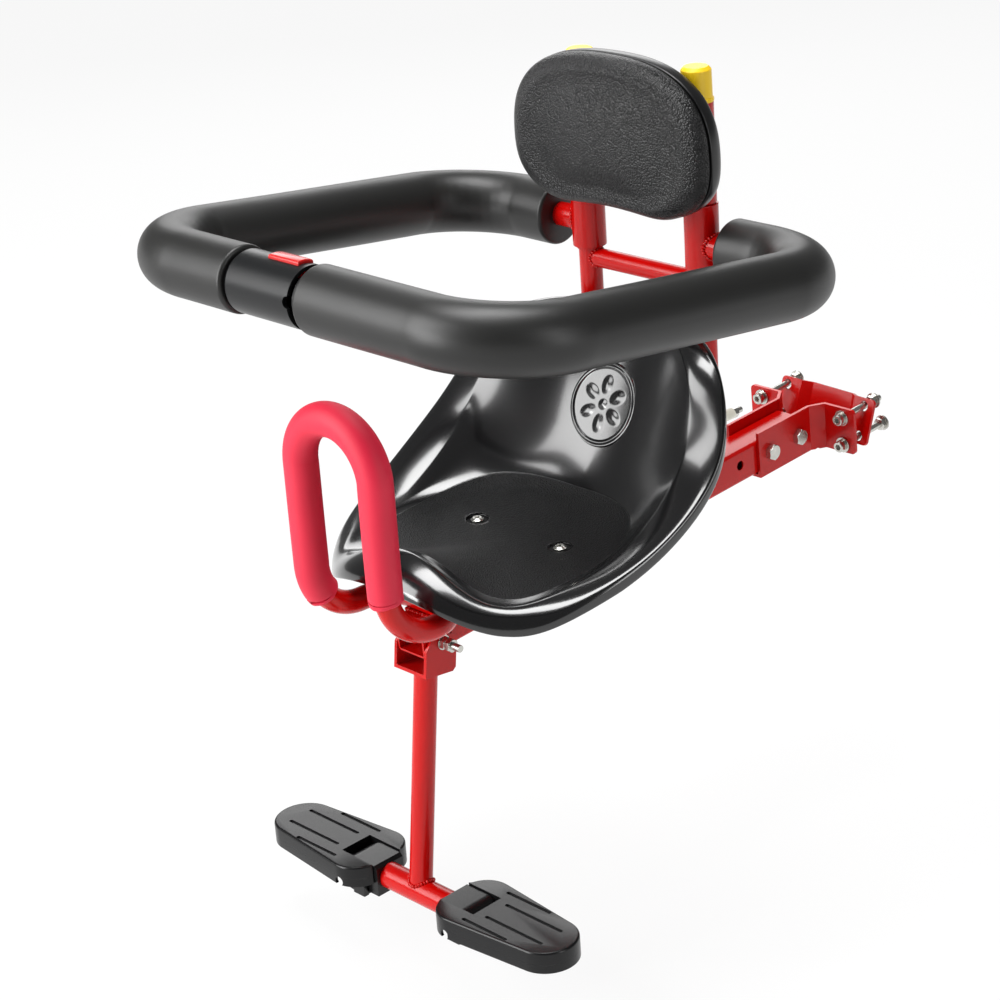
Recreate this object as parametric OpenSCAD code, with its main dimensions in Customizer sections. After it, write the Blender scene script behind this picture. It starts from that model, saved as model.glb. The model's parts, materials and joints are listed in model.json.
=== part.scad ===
// Child bike seat that clamps to the seat tube of a bicycle, in millimetres.
// +X is the child's left, the child faces -Y, +Z is up.
// The origin lies in the open clamp, where the axis of the bicycle's seat tube passes.

/* [Main beam] */
// Outer width and height of the square beam
beam_w = 30; // [28:1:34]
// Wall of the square beam
beam_wall = 1.6; // [1.2:0.1:2.5]
// Pitch of the beam, lower at its front end, in degrees
beam_pitch = 3; // [0:0.5:5]
// Distance from the clamp to the beam's front end
beam_front = 492; // [480:1:510]
// Distance from the clamp to the beam's rear end
beam_rear = 30; // [26:1:34]

/* [Uprights and backrest] */
// Distance of each upright from the centre plane
upright_x = 61.5; // [55:0.5:70]
// Distance of the uprights in front of the clamp
upright_y = 206; // [200:1:215]
// Outer diameter of the upright tube
upright_d = 19; // [18:0.5:20]
// Height of the crossbar
crossbar_z = 195; // [188:1:196]
// Half width of the backrest pad
pad_half_w = 102.5; // [95:0.5:110]

/* [Guard ring] */
// Half width of the guard, to the middle of its foam
guard_x = 198; // [180:1:220]
// Depth of the guard, to the middle of its foam
guard_d = 357; // [320:1:380]
// Height of the guard's rear bar
guard_z = 225.7; // [222:0.5:228]
// Rise of the guard towards its front, in degrees
guard_pitch = 7.2; // [0:0.1:8]
// Outer diameter of the guard's foam
foam_d = 52; // [44:1:54]
// Bend radius of the rear corners
rear_bend = 72; // [50:1:80]
// Bend radius of the front corners
front_bend = 67; // [50:1:100]

/* [Handle] */
// Distance of each handle leg from the centre plane
handle_x = 41.5; // [38:0.5:46]
// Distance of the handle in front of the clamp
handle_y = 547; // [543:1:555]
// Height of the top bend's centre
handle_top = 130; // [100:1:150]
// Outer diameter of the handle's foam grip
grip_d = 27; // [26:1:34]

/* [Footrests] */
// Height of the foot tube's axis
foot_z = -247; // [-290:1:-230]
// Distance of the foot tube in front of the clamp
foot_y = 503; // [495:1:510]
// Length of a footrest
footrest_l = 127; // [124:1:127]
// Width of a footrest
footrest_w = 68; // [60:1:76]
// Depth of a footrest's skirt
footrest_h = 18; // [16:1:22]

/* [Hidden] */
$fn = 48;
eps = 0.02;

red = [0.71, 0.07, 0.06];
black = [0.07, 0.07, 0.07];
zinc = [0.78, 0.78, 0.76];
yellow = [0.93, 0.72, 0.08];
pink = [0.85, 0.12, 0.25];

sheet = 3;
beam_fit = 0.3;
side_in = beam_w / 2 + beam_fit;
side_out = side_in + sheet;

// Beam bolts and the spare hole, measured along the beam from the clamp
beam_bolt_at = [40.5, 78];
spare_at = 115;
m8 = 8;
m6 = 6;
m5 = 5;

// Clamp
clamp_top = 23.6;
clamp_front = 93;
fold_y = 24;
flange_y = 12;
flange_in = 26;
flange_out = 57;
clamp_hole_x = 45;
clamp_hole_z = [14.5, -11];
plate_tilt = 18;
plate_skew = 3;
plate_y = 15.5;
plate_x = 2;
plate_offset = 7;

// Seat pan fixings
seat_screw_x = 46.4;
seat_screw_y = 368.8;
pan_wall = 3.6;
floor_z = 17.5;
bracket_top = 12.4;
back_z = 74;

// Guard
guard_tube_r = 10;
sleeve_r = 14;
sleeve_z = [205, 260];
foam_start = 93;
socket_left = 61;
tongue_at = 12;
collar_l = 5;

// Footrests
pin_x = 62;
hub_w = 29;
notch_w = 30.6;
hub_r = 14;
footrest_y = 502.5;
footrest_top = foot_z + 15;
footrest_in = 40;

function lerp(a, b, t) = a + (b - a) * t;
function flip(p) = [-p[0], p[1], p[2]];
function unit(v) = v / norm(v);

// Plain helpers

module rounded_rect(w, h, r) {
    square([w - 2 * r, h], center = true);
    square([w, h - 2 * r], center = true);
    for (x = [-1, 1], y = [-1, 1])
        translate([x * (w / 2 - r), y * (h / 2 - r)]) circle(r = r);
}

module pipe(r, wall, h) {
    difference() {
        cylinder(r = r, h = h);
        translate([0, 0, -1]) cylinder(r = r - wall, h = h + 2);
    }
}

module along_x() { rotate([0, 90, 0]) children(); }
module along_y() { rotate([-90, 0, 0]) children(); }
module both_sides() {
    children();
    mirror([1, 0, 0]) children();
}

// Hexagon of a given width across flats
module hexagon(af, h) { cylinder(d = af / cos(30), h = h, $fn = 6); }

module hex_nut(af, h, bore) {
    difference() {
        intersection() {
            hexagon(af, h);
            union() {
                cylinder(d1 = af * 0.98, d2 = af * 1.16, h = h * 0.2);
                translate([0, 0, h * 0.2]) cylinder(d = af * 1.16, h = h * 0.6);
                translate([0, 0, h * 0.8]) cylinder(d1 = af * 1.16, d2 = af * 0.98, h = h * 0.2);
            }
        }
        translate([0, 0, -1]) cylinder(d = bore + 0.1, h = h + 2);
    }
}

// Folded strip: an open outline of points given a thickness to its left
function strip_normal(p, i) =
    let (n = len(p),
         a = i > 0 ? unit(p[i] - p[i - 1]) : unit(p[1] - p[0]),
         b = i < n - 1 ? unit(p[i + 1] - p[i]) : unit(p[n - 1] - p[n - 2]),
         m = unit([-a[1] - b[1], a[0] + b[0]]))
    m / (m * [-a[1], a[0]]);
module strip(p, t) {
    n = len(p);
    polygon(concat(p, [for (i = [n - 1:-1:0]) p[i] + t * strip_normal(p, i)]));
}

module on_beam() { rotate([beam_pitch, 0, 0]) children(); }
module on_guard() { translate([0, -upright_y, guard_z]) rotate([-guard_pitch, 0, 0]) children(); }
module at_buckle() { on_guard() translate([0, -guard_d, 0]) children(); }

module beam_block() {
    on_beam() translate([0, -beam_rear + 1, 0]) rotate([90, 0, 0])
        linear_extrude(beam_front - beam_rear + 2) rounded_rect(beam_w, beam_w, 3);
}

// Main beam

module main_beam() {
    color(red) on_beam() difference() {
        translate([0, -beam_rear, 0]) rotate([90, 0, 0])
            linear_extrude(beam_front - beam_rear) difference() {
                rounded_rect(beam_w, beam_w, 3);
                rounded_rect(beam_w - 2 * beam_wall, beam_w - 2 * beam_wall, 3 - beam_wall);
            }
        for (y = concat(beam_bolt_at, [spare_at]))
            translate([-beam_w, -y, 1.5]) along_x() cylinder(d = m8 + 0.5, h = 2 * beam_w);
        rotate([-beam_pitch, 0, 0]) post_axis() cylinder(d = m6 + 0.5, h = 2 * beam_w);
    }
}

module beam_bolts() {
    color(zinc) on_beam() for (y = beam_bolt_at)
        translate([side_out, -y, 1.5]) along_x() {
            intersection() {
                hexagon(13, 5.3);
                union() {
                    cylinder(d = 16, h = 4.2);
                    translate([0, 0, 4.2]) cylinder(d1 = 15.6, d2 = 12.6, h = 1.1);
                }
            }
            translate([0, 0, -2 * side_out - 9]) cylinder(d = m8, h = 2 * side_out + 9);
        }
}

module beam_nuts() {
    color(zinc) on_beam() for (y = beam_bolt_at)
        translate([-side_out, -y, 1.5]) rotate([0, -90, 0]) hex_nut(13, 6.5, m8);
}

// Clamp: a channel under the beam, folded out to a flange on each side

module clamp_bracket() {
    height = clamp_top + side_out;
    color(red) on_beam() difference() {
        union() {
            translate([0, 0, -side_out]) linear_extrude(height) both_sides()
                strip([[side_out, -clamp_front], [side_out, -fold_y], [flange_in, -flange_y],
                       [flange_in + 6, -flange_y]], sheet);
            translate([-side_in - 1, -clamp_front, -side_out])
                cube([2 * side_in + 2, clamp_front - fold_y - 2, sheet]);
            both_sides() translate([(flange_in + flange_out) / 2 + 1, -flange_y + sheet,
                                    clamp_top - height / 2]) rotate([90, 0, 0])
                linear_extrude(sheet) rounded_rect(flange_out - flange_in, height, 4);
        }
        for (y = beam_bolt_at)
            translate([-beam_w, -y, 1.5]) along_x() cylinder(d = m8 + 0.5, h = 2 * beam_w);
        clamp_holes(m6 + 0.8);
        both_sides() translate([side_out + 1, -clamp_front, -side_out - 1]) rotate([0, -45, 0])
            translate([-3, -1, -3]) cube([6, clamp_front, 3]);
    }
}

module clamp_holes(d) {
    for (x = [-1, 1], z = clamp_hole_z)
        translate([x * clamp_hole_x, -40, z]) along_y() cylinder(d = d, h = 100);
}

// Slackened plate behind the flanges: its top has tipped backwards
module clamp_plate() {
    color(red) translate([plate_x, plate_y, 2.6]) rotate([-plate_tilt, 0, -plate_skew])
        difference() {
            intersection() {
                translate([0, 0, -20.5]) linear_extrude(41)
                    strip([[-54, 0], [-31, 0], [-23, plate_offset], [23, plate_offset],
                           [31, 0], [54, 0]], sheet);
                translate([0, 20, 0]) rotate([90, 0, 0]) linear_extrude(40)
                    rounded_rect(107.8, 41, 4);
            }
            for (x = [-1, 1], z = [-1, 1])
                translate([x * clamp_hole_x - plate_x, -5, z * 13.4]) along_y()
                    cylinder(d = 9, h = 12);
        }
}

module clamp_bolts() {
    color(zinc) on_beam() for (x = [-1, 1], k = [0, 1])
        translate([x * clamp_hole_x, -flange_y - 1.7, clamp_hole_z[k]]) {
            difference() {
                translate([0, -6, 0]) along_y() {
                    cylinder(d1 = 9, d2 = 10, h = 0.6);
                    translate([0, 0, 0.6]) cylinder(d = 10, h = 5.4);
                }
                translate([0, -7, 0]) along_y() hexagon(5, 4);
            }
            along_y() cylinder(d = m6, h = k == 0 ? 54 : 62);
        }
}

module clamp_washers() {
    color(zinc) on_beam() for (x = [-1, 1], z = clamp_hole_z)
        translate([x * clamp_hole_x, -flange_y - 1.6, z]) along_y() difference() {
            cylinder(d = 14, h = 1.4);
            translate([0, 0, -1]) cylinder(d = m6 + 0.1, h = 4);
        }
}

module clamp_nuts() {
    color(zinc) on_beam() for (x = [0, 1], k = [0, 1])
        translate([(1 - 2 * x) * clamp_hole_x, k == 0 ? 27 + 5 * x : 38, clamp_hole_z[k]]) along_y() {
            hex_nut(10, 5, m6);
            translate([0, 0, 5]) difference() {
                cylinder(d = 14, h = 1.4);
                translate([0, 0, -1]) cylinder(d = m6 + 0.1, h = 4);
            }
        }
}

// Cross bracket between beam and seat pan

module seat_bracket() {
    half = 65;
    depth = 38;
    color(red) difference() {
        translate([-half, -seat_screw_y - depth / 2, -12]) difference() {
            cube([2 * half, depth, bracket_top + 12]);
            translate([-1, sheet, -1]) cube([2 * half + 2, depth - 2 * sheet, bracket_top + 10]);
        }
        beam_block();
        for (x = [-1, 1]) translate([x * seat_screw_x, -seat_screw_y, 0])
            cylinder(d = m6 + 0.6, h = 20);
        both_sides() translate([half, -seat_screw_y - depth, -12]) rotate([0, 35, 0])
            translate([-9, 0, -20]) cube([20, 2 * depth, 24]);
    }
}

// Seat pan: stations run from the middle of the back, down the child's left, to the middle
// of the front. pan_floor is the edge of the floor, pan_inner the inner line of the rim and
// pan_outer its outer edge.
pan_floor = [
    [0, -290, 36], [25, -291, 36], [48, -297, 35], [68, -307, 33], [83, -320, 30],
    [94, -337, 27], [101, -356, 25], [105, -380, 23], [105, -408, 22], [101, -437, 20],
    [90, -460, 17], [66, -474, 20], [38, -478, 33], [0, -478, 44]
];
pan_inner = [
    [0, -231, 163], [45, -235, 161], [80, -260, 154], [102, -274, 138], [113, -287, 112],
    [117, -303, 82], [117, -335, 54], [115, -372, 33], [112, -405, 26], [107, -438, 22],
    [96, -463, 18], [72, -482, 20], [40, -487, 38], [0, -487, 49]
];
pan_outer = [
    [0, -219, 164], [52, -224, 163], [99, -244, 157], [125, -261, 140], [142, -276, 114],
    [151, -297, 84], [153, -333, 60], [149, -372, 39], [141, -408, 26], [129, -444, 13],
    [110, -470, 2], [84, -492, 3], [48, -514, 22], [0, -516, 26]
];
pan_n = 64;
pan_centre = [0, -375, floor_z];
floor_rows = 3;
bend_rows = 4;
wall_rows = 2;
roll_rows = 6;
bend_at = floor_rows + bend_rows;
crest_at = bend_at + wall_rows;
pan_rows = crest_at + roll_rows + 1;

function pick(list, i) =
    i < 0 ? flip(list[-i]) : i >= len(list) ? flip(list[2 * len(list) - 2 - i]) : list[i];
function smooth(list, s) =
    let (u = s * (len(list) - 1), i = min(floor(u), len(list) - 2), t = u - i,
         a = pick(list, i - 1), b = pick(list, i), c = pick(list, i + 1), d = pick(list, i + 2))
    0.5 * (2 * b + (c - a) * t + (2 * a - 5 * b + 4 * c - d) * t * t
           + (3 * b - a - 3 * c + d) * t * t * t);
function station(i) = i <= pan_n / 2 ? 2 * i / pan_n : 2 - 2 * i / pan_n;
function round_pan(list, i) =
    i <= pan_n / 2 ? smooth(list, station(i)) : flip(smooth(list, station(i)));

// Along the stations: where the bend ends on the wall, and the length of the down-turned lip
function bend_end(s) = lerp(0.25, 0.45, min(1, s / 0.3));
function rim_lip(s) = s < 0.6 ? 7 : lerp(7, 1, min(1, (s - 0.6) / 0.2));

function floor_point(m, r) =
    [lerp(pan_centre[0], m[0], r), lerp(pan_centre[1], m[1], r),
     lerp(pan_centre[2], m[2], r * r)];
function curve3(a, b, c, t) = lerp(lerp(a, b, t), lerp(b, c, t), t);
function curve4(a, b, c, d, t) = lerp(curve3(a, b, c, t), curve3(b, c, d, t), t);
function roll_point(m, a, e, s, t) =
    curve4(a, a + lerp(8, 6, s) * unit(a - m), e + [0, 0, max(8, 0.6 * (a[2] - e[2]))], e, t);

// Point in row k of the pan's upper surface, counted from the middle of the floor to the lip
function pan_point(k, i) =
    let (m = round_pan(pan_floor, i), a = round_pan(pan_inner, i), e = round_pan(pan_outer, i),
         s = station(i), w = lerp(m, a, bend_end(s)))
    k <= floor_rows ? floor_point(m, 0.78 * k / floor_rows)
    : k <= bend_at ? curve3(floor_point(m, 0.78), m, w, (k - floor_rows) / bend_rows)
    : k <= crest_at ? lerp(w, a, (k - bend_at) / wall_rows)
    : k < pan_rows ? roll_point(m, a, e, s, (k - crest_at) / roll_rows)
    : e - [0, 0, rim_lip(s)];

function ring_at(k) = [for (i = [0:pan_n - 1]) pan_point(k, i)];

module seat_pan_shell() {
    grid = [for (k = [1:pan_rows]) ring_at(k)];
    inside = [for (k = [0:pan_rows - 1]) [for (i = [0:pan_n - 1])
        let (p = grid[k][i],
             out = k < pan_rows - 1 ? grid[k + 1][i] - (k > 0 ? grid[k - 1][i] : pan_centre)
                 : p - grid[k - 1][i],
             round = grid[k][(i + 1) % pan_n] - grid[k][(i + pan_n - 1) % pan_n])
        p - pan_wall * unit(cross(round, out))]];
    top = concat([pan_centre], [for (r = grid) each r]);
    low = concat([pan_centre - [0, 0, pan_wall]], [for (r = inside) each r]);
    base = len(top);
    last = 1 + (pan_rows - 1) * pan_n;
    polyhedron(
        points = concat(top, low),
        faces = concat(
            [for (i = [0:pan_n - 1]) [0, 1 + i, 1 + (i + 1) % pan_n]],
            [for (i = [0:pan_n - 1]) [base, base + 1 + (i + 1) % pan_n, base + 1 + i]],
            [for (k = [0:pan_rows - 2], i = [0:pan_n - 1])
                let (a = 1 + k * pan_n + i, b = a + pan_n,
                     d = 1 + k * pan_n + (i + 1) % pan_n, c = d + pan_n)
                each [[a, b, c], [a, c, d], [base + a, base + c, base + b],
                      [base + a, base + d, base + c]]],
            [for (i = [0:pan_n - 1])
                let (a = last + i, b = last + (i + 1) % pan_n)
                each [[a, base + a, base + b], [a, base + b, b]]]
        ),
        convexity = 6
    );
}

// Round medallion moulded into the back wall
medal_pos = [0, -262.6, 94.6];
medal_lean = 24.9;
module on_medal() { translate(medal_pos) rotate([90 - medal_lean, 0, 0]) children(); }

module seat_pan() {
    color(black) difference() {
        union() {
            seat_pan_shell();
            on_medal() translate([0, 0, -3]) {
                cylinder(r = 34, h = 5.4);
                for (a = [0:60:300]) rotate(a) translate([14, 0, 0]) cylinder(r = 6.5, h = 6.6);
                cylinder(r = 5.5, h = 7);
            }
            for (x = [-1, 1]) {
                translate([x * seat_screw_x, -seat_screw_y, bracket_top]) cylinder(r = 11, h = 4.6);
                translate([x * 18, -268, back_z]) along_y() cylinder(r = 8, h = 10);
            }
        }
        for (x = [-1, 1]) {
            translate([x * seat_screw_x, -seat_screw_y, bracket_top + 4.6]) cylinder(r = 9.5, h = 9);
            translate([x * seat_screw_x, -seat_screw_y, 0]) cylinder(d = m6 + 0.6, h = 30);
            translate([x * 18, -267.5, back_z]) along_y() cylinder(d = m5 + 0.1, h = 12);
        }
        on_medal() rotate_extrude() translate([29, 2]) square([1.6, 2]);
    }
}

module seat_screws() {
    color(zinc) for (x = [-1, 1])
        translate([x * seat_screw_x, -seat_screw_y, bracket_top + 4.6]) {
            difference() {
                union() {
                    cylinder(d = 11, h = 1.8);
                    translate([0, 0, 1.8]) cylinder(d1 = 11, d2 = 7, h = 1.4);
                }
                for (a = [0, 90]) rotate(a) translate([-2.8, -0.6, 1.2]) cube([5.6, 1.2, 4]);
            }
            translate([0, 0, -18]) cylinder(d = m6, h = 18);
        }
}

module seat_nuts() {
    color(zinc) for (x = [-1, 1])
        translate([x * seat_screw_x, -seat_screw_y, bracket_top - sheet - 5]) hex_nut(10, 5, m6);
}

// Strap from the uprights to the bosses on the back of the pan

upright_front = -upright_y - upright_d / 2;

module back_stay() {
    half_h = 12.5;
    color(red) difference() {
        translate([0, 0, back_z - half_h]) linear_extrude(2 * half_h)
            strip([[-76, upright_front - sheet], [-48, upright_front - sheet],
                   [-29, -258], [29, -258], [48, upright_front - sheet],
                   [76, upright_front - sheet]], sheet);
        for (x = [-1, 1]) {
            translate([x * 18, -270, back_z]) along_y() cylinder(d = m5 + 0.5, h = 30);
            translate([x * upright_x, -240, back_z]) along_y() cylinder(d = m5 + 0.5, h = 40);
        }
    }
}

module back_screws() {
    color(zinc) for (x = [-1, 1]) translate([x * 18, -267, back_z]) along_y() {
        cylinder(d = m5, h = 12);
        translate([0, 0, 12]) difference() {
            cylinder(d1 = 10, d2 = 7, h = 3);
            for (a = [0, 90]) rotate(a) translate([-2.4, -0.5, 1.2]) cube([4.8, 1, 4]);
        }
    }
}

back_bolt_end = -166;
module back_bolts() {
    color(zinc) for (x = [-1, 1])
        translate([x * upright_x, upright_front - sheet, back_z]) along_y() {
            translate([0, 0, -3.5]) hexagon(8, 3.5);
            cylinder(d = m5, h = back_bolt_end - upright_front + sheet);
        }
}

module back_spacers() {
    color([0.9, 0.9, 0.85]) for (x = [-1, 1]) difference() {
        translate([x * upright_x, -upright_y, back_z]) along_y() cylinder(d = 9, h = 29);
        translate([x * upright_x, -upright_y, 0]) cylinder(d = upright_d, h = 150);
        translate([x * upright_x, -upright_y - 1, back_z]) along_y() cylinder(d = m5 + 0.1, h = 32);
    }
}

module back_nuts() {
    color(zinc) for (x = [-1, 1])
        translate([x * upright_x, -upright_y + 29, back_z]) along_y() hex_nut(8, 5, m5);
}

// Uprights: one hoop of tube, bent at the bottom and welded across the beam

hoop_bend = 38;
hoop_z = 13.3;
hoop_top = 326;

module hoop_solid(r) {
    both_sides() translate([upright_x, -upright_y, hoop_z + hoop_bend])
        cylinder(r = r, h = hoop_top - hoop_z - hoop_bend + (r < 9 ? 1 : 0));
    both_sides() translate([upright_x - hoop_bend, -upright_y, hoop_z + hoop_bend])
        rotate([90, 0, 0]) rotate([0, 0, -90])
            rotate_extrude(angle = 90) translate([hoop_bend, 0]) circle(r = r);
    translate([-upright_x + hoop_bend, -upright_y, hoop_z])
        along_x() cylinder(r = r, h = 2 * (upright_x - hoop_bend));
}

module backrest_hoop() {
    color(red) difference() {
        union() {
            hoop_solid(upright_d / 2);
            both_sides() translate([upright_x, -upright_y, sleeve_z[0] - 2.4])
                cylinder(r = upright_d / 2 + 1.3, h = 2.2);
        }
        hoop_solid(upright_d / 2 - 1.5);
        beam_block();
        for (x = [-1, 1]) translate([x * upright_x, -upright_y - 15, back_z])
            along_y() cylinder(d = m5 + 0.5, h = 30);
    }
}

module upright_crossbar() {
    color(red) difference() {
        translate([-upright_x, -upright_y, crossbar_z]) along_x() pipe(8, 1.5, 2 * upright_x);
        both_sides() translate([upright_x, -upright_y, crossbar_z - 20])
            cylinder(d = upright_d, h = 40);
    }
}

// Guard arms: a sleeve that turns on the upright, and a bent tube inside a foam cover

module guard_sleeve() {
    translate([upright_x, -upright_y, sleeve_z[0]]) difference() {
        cylinder(r = sleeve_r, h = sleeve_z[1] - sleeve_z[0]);
        translate([0, 0, -1]) cylinder(r = upright_d / 2 + 0.08, h = 80);
    }
}
module guard_sleeve_left() { color(red) guard_sleeve(); }
module guard_sleeve_right() { color(red) mirror([1, 0, 0]) guard_sleeve(); }

module guard_sweep(r, from_x, to_x) {
    translate([from_x, 0, 0]) along_x() cylinder(r = r, h = guard_x - rear_bend - from_x);
    translate([guard_x - rear_bend, -rear_bend, 0])
        rotate_extrude(angle = 90) translate([rear_bend, 0]) circle(r = r);
    translate([guard_x, -rear_bend, 0]) rotate([90, 0, 0])
        cylinder(r = r, h = guard_d - rear_bend - front_bend);
    translate([guard_x - front_bend, -guard_d + front_bend, 0]) rotate([0, 0, -90])
        rotate_extrude(angle = 90) translate([front_bend, 0]) circle(r = r);
    translate([to_x, -guard_d, 0]) along_x() cylinder(r = r, h = guard_x - front_bend - to_x);
}

module guard_tube(end_x) {
    difference() {
        on_guard() difference() {
            guard_sweep(guard_tube_r, upright_x, end_x);
            guard_sweep(guard_tube_r - 1.5, upright_x - 1, end_x - 1);
        }
        translate([upright_x, -upright_y, sleeve_z[0] - 10]) cylinder(r = sleeve_r, h = 80);
    }
}
module guard_tube_left() { color(red) guard_tube(tongue_at + 2); }
module guard_tube_right() { color(red) mirror([1, 0, 0]) guard_tube(socket_left + collar_l); }

module guard_foam(end_x) {
    on_guard() difference() {
        guard_sweep(foam_d / 2, foam_start, end_x);
        guard_sweep(guard_tube_r + 0.05, foam_start - 1, end_x - 1);
    }
}
module guard_foam_left() { color(black) guard_foam(tongue_at + 2); }
module guard_foam_right() { color(black) mirror([1, 0, 0]) guard_foam(socket_left + collar_l); }

// Buckle: the tongue on the child's left slides into the socket on the right.
// A gate under the button catches a notch in the tongue.

buckle_r = 24;
blade_h = 8;
blade_w = 8;
blade_tip = -29;
gate_x = -18;
gate_t = 4;
cavity_r = 19.5;

module buckle_socket() {
    color(black) at_buckle() difference() {
        union() {
            translate([-socket_left, 0, 0]) along_x() cylinder(r = buckle_r, h = socket_left + 7);
            translate([-socket_left - collar_l, 0, 0]) along_x() cylinder(r = 21, h = collar_l);
            translate([-socket_left - 30, 0, 0]) along_x() cylinder(r = guard_tube_r - 1.6, h = 30);
        }
        translate([-36, 0, 0]) along_x() cylinder(r = cavity_r, h = 39);
        translate([2, 0, 0]) along_x() cylinder(r1 = cavity_r, r2 = 21.5, h = 6);
        translate([-33.4, -7.4, 0]) cube([33.8, 14.8, 40]);
        translate([7, 0, 0]) along_y() translate([0, 0, -40]) cylinder(r = 4.5, h = 30);
    }
}

module release_button() {
    color([0.85, 0.08, 0.08]) at_buckle() {
        difference() {
            intersection() {
                translate([-33, -7, 14]) cube([33, 14, 20]);
                translate([-40, 0, 0]) along_x() cylinder(r = buckle_r + 2.6, h = 50);
            }
            translate([-31, -5, 13]) cube([29, 10, 7]);
        }
        difference() {
            translate([gate_x - gate_t / 2, -12.5, -9.5]) cube([gate_t, 25, 23.8]);
            translate([gate_x - gate_t, -11, -5.2]) cube([2 * gate_t, 22, 17.4]);
        }
        translate([gate_x - gate_t / 2, -5.5, 14 - eps]) cube([gate_t, 11, 7]);
    }
}

spring_turns = 4;
spring_low = -18.6;
spring_high = -9.9;
module button_spring() {
    wire = 0.5;
    coil_r = 3;
    steps = 16 * spring_turns;
    sides = 6;
    function coil(j) =
        let (a = 360 * j / 16, z = lerp(spring_low + wire, spring_high - wire, j / steps))
        [for (q = [0:sides - 1])
            let (b = 360 * q / sides, r = coil_r + wire * cos(b))
            [r * cos(a), r * sin(a), z + wire * sin(b)]];
    rings = [for (j = [0:steps]) coil(j)];
    n = len(rings);
    color(zinc) at_buckle() translate([gate_x, 0, 0]) polyhedron(
        points = [for (r = rings) each r],
        faces = concat(
            [[for (q = [0:sides - 1]) q]],
            [[for (q = [sides - 1:-1:0]) (n - 1) * sides + q]],
            [for (j = [0:n - 2], q = [0:sides - 1])
                let (a = j * sides + q, b = j * sides + (q + 1) % sides)
                each [[a, a + sides, b + sides], [a, b + sides, b]]]
        )
    );
}

module buckle_tongue() {
    color(black) at_buckle() {
        difference() {
            union() {
                translate([tongue_at - 3, 0, 0]) along_x() cylinder(r = 21, h = collar_l);
                translate([tongue_at + 2, 0, 0]) along_x()
                    cylinder(r = guard_tube_r - 1.6, h = 30);
                translate([blade_tip, -blade_w, -blade_h])
                    cube([tongue_at - blade_tip, 2 * blade_w, 2 * blade_h]);
            }
            translate([gate_x - 3, -20, -blade_h - 1]) cube([6, 40, 4.4]);
            for (s = [-1, 1]) translate([blade_tip, 0, s * blade_h]) rotate([0, s * 30, 0])
                translate([-10, -20, -5]) cube([14, 40, 10]);
        }
    }
}

// Backrest

tube_z = [261, 341];
pad_mid_z = 305;
pad_up = 73.5;
pad_down = 56;
pad_n = 48;

module backrest_tube() {
    translate([upright_x, -upright_y, tube_z[0]]) pipe(13, 13 - upright_d / 2 - 0.1,
                                                      tube_z[1] - tube_z[0]);
}
module backrest_tube_left() { color(red) backrest_tube(); }
module backrest_tube_right() { color(red) mirror([1, 0, 0]) backrest_tube(); }

plate_front = -upright_y - 13 - sheet;
module backrest_plate() {
    color(red) difference() {
        translate([0, plate_front + sheet, 302]) rotate([90, 0, 0]) linear_extrude(sheet)
            rounded_rect(150, 50, 6);
        for (x = [-1, 1], z = [-1, 1]) translate([x * 32, plate_front - 1, 302 + z * 14])
            along_y() cylinder(d = m5 + 0.5, h = 5);
    }
}

module backrest_screws() {
    color(zinc) for (x = [-1, 1], z = [-1, 1])
        translate([x * 32, plate_front, 302 + z * 14]) along_y() {
            translate([0, 0, -10]) cylinder(d = m5, h = 10 + sheet);
            translate([0, 0, sheet]) cylinder(d1 = 9.5, d2 = 6.5, h = 2.6);
        }
}

// Kidney outline of the pad, scaled about its middle
function power(v, n) = sign(v) * pow(abs(v), 2 / n);
function pad_point(a, scale_by, y) =
    let (up = sin(a) >= 0, n = up ? 2.6 : 2.9,
         x = pad_half_w * power(cos(a), n),
         z = up ? pad_up * power(sin(a), n)
             : pad_down * power(sin(a), n) + 7 * max(0, 1 - pow(x / 56, 2)))
    [scale_by * x, y, pad_mid_z + 3 + scale_by * (z - 3)];
module loft(rings) {
    n = len(rings[0]);
    m = len(rings);
    polyhedron(
        points = [for (r = rings) each r],
        faces = concat(
            [[for (i = [n - 1:-1:0]) i]],
            [[for (i = [0:n - 1]) (m - 1) * n + i]],
            [for (k = [0:m - 2], i = [0:n - 1])
                let (a = k * n + i, b = k * n + (i + 1) % n)
                each [[a, b, b + n], [a, b + n, a + n]]]
        ),
        convexity = 4
    );
}
function pad_ring(y, s) = [for (i = [0:pad_n - 1]) pad_point(360 * i / pad_n, s, y)];

pad_back = plate_front;
module backrest_shell() {
    color(black) difference() {
        loft([for (q = [[0, 0.93], [-2.5, 0.975], [-6, 0.992], [-10, 1], [-15.6, 1]])
                 pad_ring(pad_back + q[0], q[1])]);
        for (x = [-1, 1], z = [-1, 1]) translate([x * 32, plate_front - 10.2, 302 + z * 14])
            along_y() cylinder(d = m5 + 0.1, h = 12);
    }
}

module backrest_cushion() {
    color(black)
        loft([for (q = [[-15.8, 0.978], [-18.5, 0.995], [-23, 0.985], [-27, 0.95], [-30, 0.89],
                        [-31.5, 0.82], [-30.5, 0.73], [-32, 0.6], [-34.5, 0.36], [-35, 0.12]])
                  pad_ring(pad_back + q[0], q[1])]);
}

module cap() {
    translate([upright_x, -upright_y, tube_z[1]]) {
        translate([0, 0, -13]) cylinder(r = 9.5, h = 13);
        cylinder(r = 13.3, h = 3);
        translate([0, 0, 3]) cylinder(r1 = 12.4, r2 = 12, h = 22);
        translate([0, 0, 25]) cylinder(r1 = 12, r2 = 9.6, h = 2.6);
    }
}
module cap_left() { color(yellow) cap(); }
module cap_right() { color(yellow) mirror([1, 0, 0]) cap(); }

// Handle: one closed loop of tube, whose lower bends turn back and cross on top of the beam

handle_r = 9.5;
handle_bend = 46;
handle_low = -0.8;
loop_bend = 28;

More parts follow.
